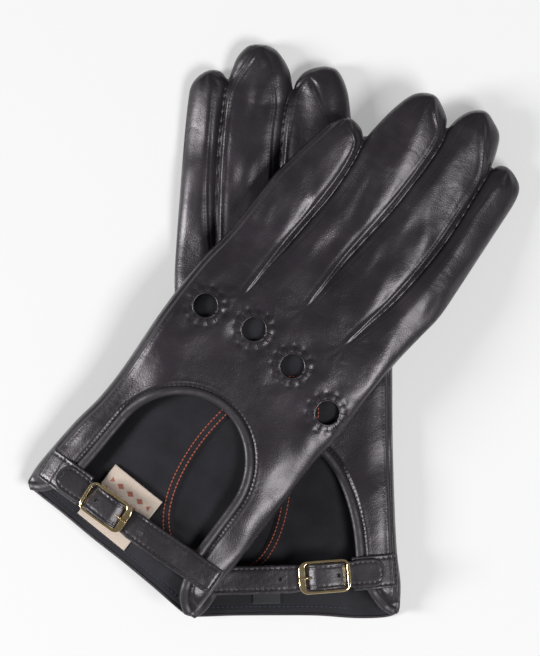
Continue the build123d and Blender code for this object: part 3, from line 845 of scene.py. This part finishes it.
def gold(name):
    """Polished gold with fine scratches."""
    mat, tree, shader = node_material(name, Metallic=1.0)
    smear = texture(tree, "ShaderNodeTexNoise", 160, Detail=4.0)
    scratch = texture(tree, "ShaderNodeTexNoise", 2600, Detail=2.0, Distortion=2.0)
    color = ramp(tree, smear.outputs["Fac"], [(0.3, (0.74, 0.56, 0.29)), (0.7, (0.92, 0.76, 0.47))])
    tree.links.new(color, shader.inputs["Base Color"])
    tree.links.new(spread(tree, smear.outputs["Fac"], 0.10, 0.16), shader.inputs["Roughness"])
    bump(tree, shader, [(scratch.outputs["Fac"], 0.06, 0.00004, False)])
    return mat


LEATHER_MAT = leather("black_nappa", (0.0085, 0.0068, 0.0092), (0.019, 0.0155, 0.020), 0.35)
BINDING_MAT = leather("binding_nappa", (0.012, 0.011, 0.0135), (0.024, 0.022, 0.026), 0.46, 0.1)
STRAP_MAT = leather("strap_nappa", (0.011, 0.010, 0.012), (0.024, 0.022, 0.026), 0.36, 0.2, 0.6)
SUEDE_MAT = suede("suede_inside", (0.0070, 0.0066, 0.0092), (0.0125, 0.0120, 0.0158))
THREAD_MAT = thread("black_thread", (0.004, 0.004, 0.005), (0.013, 0.012, 0.014), 0.78)
HEM_THREAD_MAT = thread("blue_black_thread", (0.012, 0.013, 0.020), (0.05, 0.055, 0.080), 0.6)
RUST_MAT = thread("rust_thread", (0.17, 0.036, 0.020), (0.42, 0.11, 0.065), 0.65)
GOLD_MAT = gold("polished_gold")


# ---------- threads and trims ----------

def bead(sides=6, rings=5):
    """A long bead along x from -1 to 1, as unit points and faces."""
    points, faces = [(-1, 0, 0)], []
    for k in range(1, rings):
        a = math.pi * k / rings
        for j in range(sides):
            b = 2 * math.pi * j / sides
            points.append((-math.cos(a), math.sin(a) ** 0.7 * math.cos(b), math.sin(a) ** 0.7 * math.sin(b)))
    points.append((1, 0, 0))
    for j in range(sides):
        n = (j + 1) % sides
        faces.append((0, 1 + n, 1 + j))
        for k in range(rings - 2):
            a, b = 1 + k * sides, 1 + (k + 1) * sides
            faces.append((a + j, a + n, b + n, b + j))
        faces.append((1 + (rings - 2) * sides + j, 1 + (rings - 2) * sides + n, len(points) - 1))
    return np.array(points, float), faces


def beads(name, low, high, length, radius, flat, material):
    """A bead of thread along each low-to-high pair of points, in metres; flat is its height over its width."""
    shape, shape_faces = bead()
    along = unit(high - low)
    across = unit(np.cross(np.broadcast_to([0.0, 0.0, 1.0], along.shape), along))
    up = np.cross(along, across)
    points = (((low + high) / 2)[:, None] + shape[None, :, :1] * along[:, None] * length / 2
              + shape[None, :, 1:2] * across[:, None] * radius * MM
              + shape[None, :, 2:] * up[:, None] * radius * MM * flat)
    faces = [[k * len(shape) + j for j in f] for k in range(len(points)) for f in shape_faces]
    return new_object(name, points.reshape(-1, 3), faces, [material])


def stitches(glove, name, rows, height, length, radius, lift=0.05, material=THREAD_MAT, pitch=STITCH_PITCH):
    """Stitches lying on the leather, in rows of (path, distance to its left, length left out at each end)."""
    low, high = [], []
    for path, offset, skip in rows:
        run = run_length(path)
        at = (np.arange(int(run[-1] / pitch)) + 0.5) * pitch
        at = at[(at > skip[0]) & (at < run[-1] - skip[1])]
        row = moved_left(path, offset)
        for found, move in ((low, -length / 2), (high, length / 2)):
            found.append(np.column_stack([np.interp(at + move, run, row[:, k]) for k in range(2)]))
    low, high = np.vstack(low), np.vstack(high)
    z = height(*np.vstack([low, high]).T) + lift
    low = glove.world(np.column_stack([low, z[:len(low)]]))
    high = glove.world(np.column_stack([high, z[len(high):]]))
    return beads(name, low, high, np.linalg.norm(high - low, axis=1)[:, None, None], radius, 0.8, material)


def tube(glove, name, centre, wide, high, sides, material, taper=3.0):
    """A tube of oval section along the points (u, v, z), with rounded ends."""
    run = unit(np.gradient(centre, axis=0))
    across = np.column_stack([-run[:, 1], run[:, 0], np.zeros(len(centre))])
    across /= np.linalg.norm(across, axis=1)[:, None] + 1e-9
    up = np.cross(run, across)
    length = run_length(centre)
    end = np.minimum(length, length[-1] - length)
    swell = np.sqrt(np.clip(1 - (1 - np.clip(end / taper, 0.02, 1)) ** 2, 0.05, 1))
    a = np.arange(sides)[None, :, None] * 2 * math.pi / sides
    points = (centre[:, None] + across[:, None] * np.cos(a) * (wide * swell)[:, None, None] / 2
              + up[:, None] * np.sin(a) * (high * swell)[:, None, None] / 2)
    faces = ring_faces(len(centre), sides, glove.mirrored)
    return new_object(name, glove.world(points.reshape(-1, 3)), faces, [material])


def finish_piece(obj, glove, node=None, body=None):
    """Hides the CAD node that the object stands in for, and hangs the object on the body it rides on."""
    if node:
        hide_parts(node)
    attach(obj, body or glove.body)


def joined(name, objects):
    """Several new meshes as one object."""
    keep = objects[0]
    with bpy.context.temp_override(active_object=keep, selected_editable_objects=objects, object=keep):
        bpy.ops.object.join()
    keep.name = name
    return keep


def top_of(glove):
    """The height of the back's outer face, as a function of u and v."""
    return lambda u, v: top_height(glove, u, v)


def inside_palm(glove):
    """The height of the palm's inner face, as a function of u and v."""
    return lambda u, v: under_height(glove, u, v) + LEATHER


def finger_stitches(glove):
    """The rows of stitches beside the seams of the fingers."""
    rows = [(path, STITCH_INSET * back_side, (4, 3)) for path, back_side, _ in glove.seams]
    obj = stitches(glove, f"{glove.name}_finger_stitches", rows, top_of(glove), 1.1, 0.14, 0.0)
    finish_piece(obj, glove)


LOOPS = 12
# One overcast loop: distances from the middle of the hole, and heights over the leather.
LOOP_REACH = np.array([5.15, 4.9, 5.25, 5.9, 6.7, 7.4, 7.9])
LOOP_LIFT = np.array([0, -0.02, 0.04, 0.08, 0.08, 0.04, -0.15])
LOOP_DEPTH = 1.0
LIP_RADIUS = 5.05


def knuckle_stitches(glove):
    """Overcast stitches that gather the edge of each knuckle hole."""
    pieces = []
    for k, (ku, kv) in enumerate(KNUCKLES):
        for j in range(LOOPS):
            a = 2 * math.pi * (j + 0.5) / LOOPS - 0.4 * k + 0.06 * math.sin(5 * j + k)
            u, v = ku + LOOP_REACH * math.cos(a), kv + LOOP_REACH * math.sin(a)
            z = top_height(glove, u, v)
            z[0] = z[1] - LOOP_DEPTH
            points = np.column_stack([u, v, z + LOOP_LIFT])
            pieces.append(tube(glove, f"loop{k}_{j}", points, 0.46, 0.4, 6, THREAD_MAT, 0.5))
        turn = np.linspace(0, 2 * math.pi, 61)
        u, v = ku + LIP_RADIUS * np.cos(turn), kv + LIP_RADIUS * np.sin(turn)
        points = np.column_stack([u, v, top_height(glove, u, v) - 0.15])
        pieces.append(tube(glove, f"lip{k}", points, 0.9, 0.8, 8, LEATHER_MAT, 0.01))
    obj = joined(f"{glove.name}_knuckle_stitches", pieces)
    finish_piece(obj, glove, node=f"{glove.name}_knuckle_stitching")


def binding(glove):
    """The rolled edge of the keyhole and the row of stitches that gathers the leather round it."""
    path = even(glove.keyhole_path(ROLL_WIDTH / 2), 0.8)
    run = np.linspace(0, 1, len(path))
    z = top_height(glove, path[:, 0], path[:, 1]) + 0.05 + 0.10 * fractal(run * 60, run * 0, glove.seed)
    roll = np.column_stack([path, z])
    obj = tube(glove, f"{glove.name}_rolled_binding", roll, ROLL_WIDTH, 2.3, 16, BINDING_MAT, 1.0)
    finish_piece(obj, glove, node=f"{glove.name}_keyhole_binding")
    rows = [(glove.keyhole_path(0), KEYHOLE_ROW, (4, 4))]
    obj = stitches(glove, f"{glove.name}_keyhole_stitches", rows, top_of(glove), 1.15, 0.18, 0.02)
    finish_piece(obj, glove)


def thumb_seam(glove):
    """Two rows of rust stitches round the thumb's root, seen on the inside of the palm."""
    cu, cv, a, b = THUMB_SEAM
    turn = np.linspace(0, 2 * math.pi, 240)
    rows = [(np.column_stack([cu + (a + g) * np.cos(turn), cv + (b + g) * np.sin(turn)]), 0, (0, 0))
            for g in SEAM_ROWS]
    obj = stitches(glove, f"{glove.name}_thumb_stitches", rows, inside_palm(glove), 1.3, 0.30, 0.12, RUST_MAT)
    finish_piece(obj, glove, node=f"{glove.name}_thumb_seam")


def hem(glove):
    """The cuff's turned-in hem: a soft fold along the edge, the facing inside it and its stitches."""
    u, v = np.meshgrid(np.arange(-41.6, 41.7, 0.8), np.arange(0.3, 10.8, 0.7))
    v = v + glove.cuff_v(u) * (1 - smooth(v, 3, 10))
    wave = 0.18 * fractal(u / 9, v / 6, glove.seed + 70)
    z = under_height(glove, u, v) + LEATHER + 0.55 + wave
    z -= 0.4 * gauss(v - HEM_ROW, 0.6) + 0.6 * smooth(v, 9.6, 10.8)
    points = np.stack([u, v, z], -1).reshape(-1, 3)
    points = np.vstack([points, points - (0, 0, 0.5)])
    facing = new_object(f"{glove.name}_hem_facing", glove.world(points), slab_faces(glove, *u.shape), [FACING_MAT])
    finish_piece(facing, glove, node=f"{glove.name}_cuff_facing")
    u, v = even(moved_left(glove.cuff, 0.7), 0.9).T
    points = np.column_stack([u, v, under_height(glove, u, v) + 0.75])
    fold = tube(glove, f"{glove.name}_hem_fold", points, 1.5, 1.9, 10, LEATHER_MAT)
    finish_piece(fold, glove)
    u = np.linspace(-39.0, 39.0, 80)
    row = np.column_stack([u, HEM_ROW + glove.cuff_v(u) * 0.85])
    threads = stitches(glove, f"{glove.name}_hem_stitches", [(row, 0, (0, 0))],
                       lambda a, b: under_height(glove, a, b) + LEATHER + 0.3, 1.35, 0.26, 0.12, HEM_THREAD_MAT, 1.9)
    finish_piece(threads, glove)


# ---------- strap and buckle ----------

CLOSURES = {
    # centre u, centre v, degrees against the cuff, sewn end u, sewn end v, as in the CAD model
    "left": (-10.7, 14.5, 3.5, 42.0, 17.8),
    "right": (-12.9, 16.2, -3.5, 42.0, 15.0),
}
BAR_HEIGHT = 1.61
STRAP_TIP = -24.6
# The strap from the side, on its way over the centre bar: along the plane, and height over it.
STRAP_WAVE = [(STRAP_TIP, 1.65), (-18, 1.45), (-12.5, 1.25), (-9.2, 1.3), (-6.2, 2.8), (-3.0, 3.85), (0.5, 4.15),
              (3.4, 4.0), (5.5, 2.9), (7.3, 1.6), (9.2, 1.1), (14.0, 1.0)]
# The punched holes that show, along the plane.
STRAP_HOLES = (-5.4, 17.8)
HOLE_RIM, HOLE_SIDES = 0.85, 24


class Closure:
    """The plane that the buckle lies in: along the strap, across it, and up."""

    def __init__(self, glove):
        u, v, twist, self.end_u, self.end_v = CLOSURES[glove.name]
        near = np.array([(u, v), (u + 0.5, v), (u - 0.5, v), (u, v + 0.5), (u, v - 0.5)])
        height, ahead, behind, left, right = glove.back(*near.T)
        rise_u, rise_v = ahead - behind, left - right
        a = math.radians(twist)
        self.origin = np.array([u, v, height])
        self.along = np.array([math.cos(a), math.sin(a), rise_u * math.cos(a) + rise_v * math.sin(a)])
        self.along /= np.linalg.norm(self.along)
        self.up = np.array([-rise_u, -rise_v, 1.0])
        self.up /= np.linalg.norm(self.up)
        self.across = np.cross(self.up, self.along)

    def points(self, x, z):
        """Points x along the plane's middle line and z above it."""
        return self.origin + x[:, None] * self.along + z[:, None] * self.up


class Strip:
    """A strap along centre points (u, v, z), with a rounded section; ends are the lengths that round off."""

    def __init__(self, glove, name, centre, across, width, thick, ends):
        self.glove, self.centre, self.across = glove, centre, across
        self.length = length = run_length(centre)
        up = unit(np.cross(unit(np.gradient(centre, axis=0)), across))
        self.up = up = up * np.sign(up[:, 2:])
        half = np.full(len(centre), 0.5) * width
        for end, size in ((length, ends[0]), (length[-1] - length, ends[1])):
            k = np.clip(end / size, 0, 1)
            half = np.minimum(half, half * (1 - 0.99 * (1 - np.sqrt(np.clip(1 - (1 - k) ** 2, 0, 1)))))
        self.half = half
        t = np.linspace(-1, 1, 35)
        t = np.sign(t) * (1 - (1 - np.abs(t)) ** 1.25)
        y = t[None, :] * half[:, None]
        from_edge = half[:, None] - np.abs(y)
        from_end = np.minimum(length, length[-1] - length)[:, None]
        rounded = thick / 2 * dome(np.minimum(from_edge, from_end + 0.12) / 0.9)
        # The upper face: a furrow and small pits along the stitches, and soft folds towards the sewn end.
        inset = np.minimum(from_edge, from_end)
        pits = 0.5 + 0.5 * np.cos(2 * math.pi * length[:, None] / STRAP_PITCH)
        upper = rounded - (0.10 + 0.12 * pits) * gauss(inset - 1.5, 0.55) + 0.06 * gauss(inset - 0.6, 0.5)
        folded = fractal(length[:, None] / 4.0, y / 3.0, glove.seed + 90)
        upper = upper + 0.12 * folded * smooth(length, 37, 43)[:, None]
        faces = [centre[:, None] + y[..., None] * across[:, None] + z[..., None] * up[:, None]
                 for z in (upper, -rounded)]
        world = glove.world(np.vstack([f.reshape(-1, 3) for f in faces]))
        self.obj = new_object(name, world, slab_faces(glove, len(centre), len(t)), [STRAP_MAT])

    def stitched(self, name, rows, size, radius, lift):
        """Stitches along the strap, in rows of (distance along, distance across) points."""
        paths = [even(np.array(row, float), STRAP_PITCH) for row in rows]
        middle = np.vstack([(p[:-1] + p[1:]) / 2 for p in paths])
        step = np.vstack([unit(p[1:] - p[:-1]) for p in paths]) * size / 2

        def lifted(at):
            centre, across, up = (np.column_stack([np.interp(at[:, 0], self.length, field[:, k]) for k in range(3)])
                                  for field in (self.centre, self.across, self.up))
            return self.glove.world(centre + across * at[:, 1:] + up * lift)

        return beads(name, lifted(middle - step), lifted(middle + step), size * MM, radius, 1.0, THREAD_MAT)


def strap(glove):
    """The strap: sewn on at the index side, through the buckle, with its tip towards the little side."""
    plane = Closure(glove)
    wave = curve_through(STRAP_WAVE, 0.6)
    first = plane.points(wave[:, 0], wave[:, 1])
    last_u, last_v = first[-1, :2]
    t = np.linspace(0, 1, 62)[1:]
    u, v = last_u + (plane.end_u - last_u) * t, last_v + (plane.end_v - last_v) * t
    lift = 0.85 + 0.35 * np.sin(t * math.pi) + 0.2 * np.sin(t * 9)
    second = np.column_stack([u, v, glove.back(u, v) + lift - 0.2 * t])
    centre = even(np.vstack([first, second]), 0.35)
    flat = np.gradient(centre, axis=0)
    across = unit(np.column_stack([-flat[:, 1], flat[:, 0], np.zeros(len(flat))]))
    across = unit(np.array([across[max(k - 15, 0):k + 16].mean(0) for k in range(len(across))]))
    x = centre[:, 0] - plane.origin[0]
    width = 11.3 - 0.8 * smooth(x, -14, -10) * (1 - smooth(x, 9, 13))
    band = Strip(glove, f"{glove.name}_strap_band", centre, across, width, 1.25, (5.0, 0.7))
    finish_piece(band.obj, glove, node=f"{glove.name}_strap")
    edge = band.half.max() - 0.1 - 1.5
    near, far = 4.6, band.length[-1] - 1.5
    rows = [[(near, edge), (far, edge)], [(near, -edge), (far, -edge)],
            [(far, -edge), (far, edge)], [(far - 9.7, -edge), (far - 9.7, edge)]]
    turn = np.linspace(-math.pi / 2, math.pi / 2, 9)
    rows.append([(near - 3.1 * math.cos(a), edge * math.sin(a)) for a in turn])
    threads = band.stitched(f"{glove.name}_strap_stitches", rows, 1.5, 0.2, 0.495)
    finish_piece(threads, glove)
    # Punched holes, each with a pressed rim and a near-black disc in it, painted shade for the hole's depth.
    pieces = []
    for hole in STRAP_HOLES:
        k = int(np.argmin(np.abs(x - hole)))
        middle, side, up = centre[k] + band.up[k] * 0.62, across[k], band.up[k]
        turn = np.linspace(0, 2 * math.pi, HOLE_SIDES + 1)[:, None]
        circle = np.cos(turn) * side + np.sin(turn) * np.cross(side, up)
        pieces.append(tube(glove, f"rim{hole}", middle + HOLE_RIM * circle, 0.34, 0.3, 6, STRAP_MAT, 0.01))
        # The disc is painted shade: a near-black sheet where the hole would lie in shadow.
        shade_disc = middle + up * 0.03 + np.vstack([(0, 0, 0), 0.8 * circle[:-1]])
        fan = [(0, 1 + j, 1 + (j + 1) % HOLE_SIDES) for j in range(HOLE_SIDES)]
        pieces.append(new_object(f"disc{hole}", glove.world(shade_disc), fan, [HOLE_SHADE_MAT]))
    finish_piece(joined(f"{glove.name}_strap_holes", pieces), glove)


TAB_END = -42.4
TAB_LIFT = 0.45
FOLD_RADIUS = 1.16
FOLD_HALF_WIDTH, FOLD_HALF_THICK = 5.05, 0.36


def tab(glove):
    """The tab that holds the buckle: sewn to the little side and folded round the centre bar."""
    plane = Closure(glove)
    x = np.linspace(TAB_END - plane.origin[0], -10.8, 60)
    centre = plane.points(x, np.full(len(x), TAB_LIFT))
    # Towards the side of the glove the tab follows the leather.
    over_side = top_height(glove, centre[:, 0], centre[:, 1] - 2.0) + 0.35
    share = smooth(centre[:, 0], -38.5, -31.0)
    centre[:, 2] = centre[:, 2] * share + np.minimum(over_side, centre[:, 2]) * (1 - share)
    across = np.broadcast_to(plane.across, centre.shape)
    base = Strip(glove, f"{glove.name}_tab_base", centre, across, 13.6, 1.0, (0.7, 0.7))
    near, far, edge = 1.4, base.length[-1] - 1.2, 5.3
    rows = [[(near, edge), (far, edge)], [(near, -edge), (far, -edge)], [(near, -edge), (near, edge)]]
    threads = base.stitched(f"{glove.name}_tab_stitches", rows, 1.5, 0.2, 0.37)
    finish_piece(threads, glove)
    # The narrower part that passes under the rear bar and round the centre bar.
    angle = np.linspace(-math.pi / 2, math.pi * 0.9, 22)
    lead = np.linspace(-11.4, -0.8, 16)
    centre = plane.points(np.r_[lead, FOLD_RADIUS * np.cos(angle)],
                          np.r_[np.full(len(lead), TAB_LIFT), BAR_HEIGHT + FOLD_RADIUS * np.sin(angle)])
    up = np.cross(plane.across, unit(np.gradient(centre, axis=0)))
    y = np.linspace(-FOLD_HALF_WIDTH, FOLD_HALF_WIDTH, 9)
    y, z = np.r_[y, y[::-1]], np.repeat([FOLD_HALF_THICK, -FOLD_HALF_THICK], len(y))
    points = centre[:, None] + plane.across * y[None, :, None] + up[:, None] * z[None, :, None]
    faces = ring_faces(len(centre), len(y), not glove.mirrored)
    fold = new_object("fold", glove.world(points.reshape(-1, 3)), faces, [STRAP_MAT])
    obj = joined(f"{glove.name}_tab_leather", [base.obj, fold])
    finish_piece(obj, glove, node=f"{glove.name}_buckle_tab")


def gild(glove):
    """Gold on the buckle's own CAD pieces."""
    for node in (f"{glove.name}_buckle_frame", f"{glove.name}_buckle_prong"):
        obj = frame["nodes"][node]
        for slot in obj.material_slots:
            slot.material = GOLD_MAT


# ---------- labels and thumbs ----------

# Corner at the sewn edge, and the corner across from it.
LABELS = {"left": (-19.0, 4.2, 5.0, 29.5), "right": (5.0, 5.0, 16.0, 19.0)}


def label(glove):
    """A woven label, sewn in by its lower edge, lying on the palm's inside."""
    u0, v0, u1, v1 = LABELS[glove.name]
    a, b = np.meshgrid(np.linspace(0, 1, 40), np.linspace(0, 1, 42))
    u, v = u0 + (u1 - u0) * a, v0 + (v1 - v0) * b
    z = under_height(glove, u, v) + LEATHER + 1.25
    z = z + 0.5 * np.sin(a * math.pi) * b + 0.9 * b ** 3 * (0.4 + 0.6 * a) + 0.12 * fractal(a * 3, b * 3, glove.seed)
    points = np.stack([u, v, z], -1).reshape(-1, 3)
    points = np.vstack([points, points - (0, 0, 0.28)])
    material = LABEL_MAT if glove.name == "left" else TAG_MAT
    obj = new_object(f"{glove.name}_woven_label", glove.world(points), slab_faces(glove, *u.shape), [material])
    uv = obj.data.uv_layers.new(name="weave")
    flat = np.tile(np.column_stack([a.ravel(), b.ravel()]), (2, 1))
    loops = np.array([l.vertex_index for l in obj.data.loops])
    uv.data.foreach_set("uv", flat[loops].astype(np.float32).ravel())
    finish_piece(obj, glove, body=f"{glove.name}_label", node=f"{glove.name}_label")


def math_node(tree, kind, *values):
    """A math node over sockets and plain numbers."""
    node = tree.nodes.new("ShaderNodeMath")
    node.operation = kind
    for socket, value in zip(node.inputs, values):
        if isinstance(value, float):
            socket.default_value = value
        else:
            tree.links.new(value, socket)
    return node.outputs["Value"]


def lozenges(tree, across, up):
    """A mask of two rows of lozenges over the label, which is 1 wide and 1 high."""
    column = math_node(tree, "FRACT", math_node(tree, "MULTIPLY", across, 5.0))
    column = math_node(tree, "ABSOLUTE", math_node(tree, "SUBTRACT", column, 0.5))
    rows = []
    for centre in (0.60, 0.78):
        rise = math_node(tree, "ABSOLUTE", math_node(tree, "SUBTRACT", up, centre))
        total = math_node(tree, "ADD", column, math_node(tree, "MULTIPLY", rise, 7.0))
        rows.append(math_node(tree, "LESS_THAN", total, 0.36))
    both = math_node(tree, "MINIMUM", math_node(tree, "ADD", *rows), 1.0)
    inner = math_node(tree, "MULTIPLY", math_node(tree, "GREATER_THAN", across, 0.10),
                      math_node(tree, "LESS_THAN", across, 0.90))
    return math_node(tree, "MULTIPLY", both, inner)


def woven(name, ground, weft, motif=None):
    """A woven satin label; the motif is the colour of its lozenges."""
    mat, tree, shader = node_material(name, Sheen_Weight=0.3, Roughness=0.75)
    uv = tree.nodes.new("ShaderNodeUVMap")
    uv.uv_map = "weave"
    waves = []
    for direction, scale in (("X", 26.0), ("Y", 30.0)):
        wave = tree.nodes.new("ShaderNodeTexWave")
        wave.bands_direction = direction
        wave.inputs["Scale"].default_value = scale
        wave.inputs["Distortion"].default_value = 0.4
        tree.links.new(uv.outputs["UV"], wave.inputs["Vector"])
        waves.append(wave.outputs["Fac"])
    cross = math_node(tree, "MULTIPLY", *waves)
    color = ramp(tree, cross, [(0.05, weft), (0.5, ground)])
    if motif:
        parts = tree.nodes.new("ShaderNodeSeparateXYZ")
        tree.links.new(uv.outputs["UV"], parts.inputs["Vector"])
        mix = tree.nodes.new("ShaderNodeMix")
        mix.data_type = "RGBA"
        tree.links.new(lozenges(tree, parts.outputs["X"], parts.outputs["Y"]), mix.inputs["Factor"])
        tree.links.new(color, mix.inputs[6])
        mix.inputs[7].default_value = (*motif, 1)
        color = mix.outputs[2]
    tree.links.new(color, shader.inputs["Base Color"])
    bump(tree, shader, [(cross, 0.5, 0.00015, False)])
    return mat


# The thumb's outline: its little-finger side, its index side and its root.
THUMB_LEFT = [(0.6, 58), (0.2, 72), (0.4, 88), (0.7, 99), (3.4, 107.4), (8.5, 112.2)]
THUMB_RIGHT = [(15.5, 113.3), (21.5, 110.6), (25.4, 104.5), (28.0, 94), (33.5, 78), (38.5, 62)]
THUMB_ROOT = [(39.8, 50), (38.5, 36), (33.0, 26), (25.0, 20.0), (16, 20.0), (7.0, 26), (2.0, 36), (0.6, 47)]
THUMB_CELL = 1.0


def thumb(glove):
    """The thumb, pressed flat under the palm."""
    ring = curve_through(THUMB_LEFT + THUMB_RIGHT + THUMB_ROOT, 1.0, closed=True)

    def gap(u, v):
        return Line(ring, u, v, 40).distance * np.where(inside(ring, u, v), 1, -1)

    u, v = np.meshgrid(np.arange(-3, 44, THUMB_CELL), np.arange(16, 117, THUMB_CELL))
    u, v, kept, rim = snapped(u, v, gap, THUMB_CELL)
    distance = gap(u, v)
    up = dome(distance / 4.2)
    up[rim] = 0
    seam_ridge = 0.3 * gauss(distance - 2.6, 0.8)
    fold = 0.25 * fractal(u / 8, v / 14, glove.seed + 60)
    thick = THUMB_THICK - 0.35
    z_mid = glove.base(u, v) + 0.05 + thick * 0.45
    z_top = z_mid + (thick * 0.52 + fold - 0.15) * up
    z_low = z_mid - (thick * 0.43 - 0.2 * seam_ridge) * up
    # Both sides share the points of the edge.
    low_index = np.where(rim.ravel(), np.arange(u.size), np.arange(u.size) + u.size)
    points = np.vstack([np.column_stack([u.ravel(), v.ravel(), z.ravel()]) for z in (z_top, z_low)])
    faces = []
    for f in cells(kept, rim, u, v, gap):
        upper, lower = (f[:, ::-1], low_index[f]) if glove.mirrored else (f, low_index[f][:, ::-1])
        faces += upper.tolist() + lower.tolist()
    used = sorted({k for f in faces for k in f})
    lookup = {k: j for j, k in enumerate(used)}
    obj = new_object(f"{glove.name}_thumb_skin", glove.world(points[used]),
                     [[lookup[k] for k in f] for f in faces], [LEATHER_MAT])
    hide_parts(f"{glove.name}_thumb")
    ends = glove.world(np.array([[22.0, 46.0, 2.0], [17.0, 80.0, 2.0]]))
    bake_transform(obj)


FACING_MAT = suede("hem_lining", (0.0100, 0.0100, 0.0130), (0.017, 0.017, 0.021))
# Painted shade: near-black suede for the discs that stand in for the dark inside the strap's holes.
HOLE_SHADE_MAT = suede("hole_painted_shade", (0.002, 0.002, 0.002), (0.004, 0.004, 0.004))
LABEL_MAT = woven("label_weave", (0.57, 0.48, 0.41), (0.40, 0.325, 0.27), (0.30, 0.095, 0.06))
TAG_MAT = woven("tag_weave", (0.012, 0.013, 0.019), (0.007, 0.008, 0.011))

for glove in GLOVES:
    glove.seams = seam_paths(glove)
    glove.side_seam = glove.seams[-1][0]
    skin(glove)
    finger_stitches(glove)
    knuckle_stitches(glove)
    binding(glove)
    thumb_seam(glove)
    hem(glove)
    strap(glove)
    tab(glove)
    gild(glove)
    label(glove)
    thumb(glove)


# ---------- studio ----------

def area_light(name, place, size, power):
    """A white rectangle of light, turned to the middle of the part."""
    data = bpy.data.lights.new(name, "AREA")
    data.shape = "RECTANGLE"
    data.size, data.size_y = size
    data.energy = power
    obj = bpy.data.objects.new(name, data)
    bpy.context.scene.collection.objects.link(obj)
    obj.location = place
    obj.rotation_euler = (-Vector(place)).to_track_quat("-Z", "Y").to_euler()


CAMERA_HEIGHT = 1.6
# The picture frames this height, in metres, at the level of the gloves' middle.
FRAMED, FRAMED_LEVEL = 0.2624, 0.012


def studio():
    """The pale floor, two lights and the camera straight above."""
    floor_mat, _, _ = node_material("pale_floor", Base_Color=(0.45, 0.45, 0.45, 1), Roughness=0.9,
                                    Emission_Color=(1, 1, 1, 1), Emission_Strength=0.34)
    floor = new_object("floor", [(-3, -3, 0), (3, -3, 0), (3, 3, 0), (-3, 3, 0)], [(0, 1, 2, 3)], [floor_mat])
    world = bpy.data.worlds.new("studio")
    bpy.context.scene.world = world
    world.use_nodes = True
    sky = world.node_tree.nodes["Background"]
    sky.inputs["Color"].default_value = (1, 1, 1, 1)
    sky.inputs["Strength"].default_value = 0.16
    bpy.context.scene.view_settings.view_transform = "Standard"
    area_light("key", (1.2, -0.93, 2.0), (1.2, 0.8), 54)
    area_light("left", (-2.0, -0.15, 1.05), (0.6, 0.8), 56)
    camera = bpy.data.cameras.new("camera")
    camera.sensor_fit = "VERTICAL"
    camera.sensor_height = 36
    camera.lens = camera.sensor_height * (CAMERA_HEIGHT - FRAMED_LEVEL) / FRAMED
    camera.clip_end = 20
    obj = bpy.data.objects.new("camera", camera)
    bpy.context.scene.collection.objects.link(obj)
    obj.location = (-0.0014, 0.0012, CAMERA_HEIGHT)
    bpy.context.scene.camera = obj


studio()
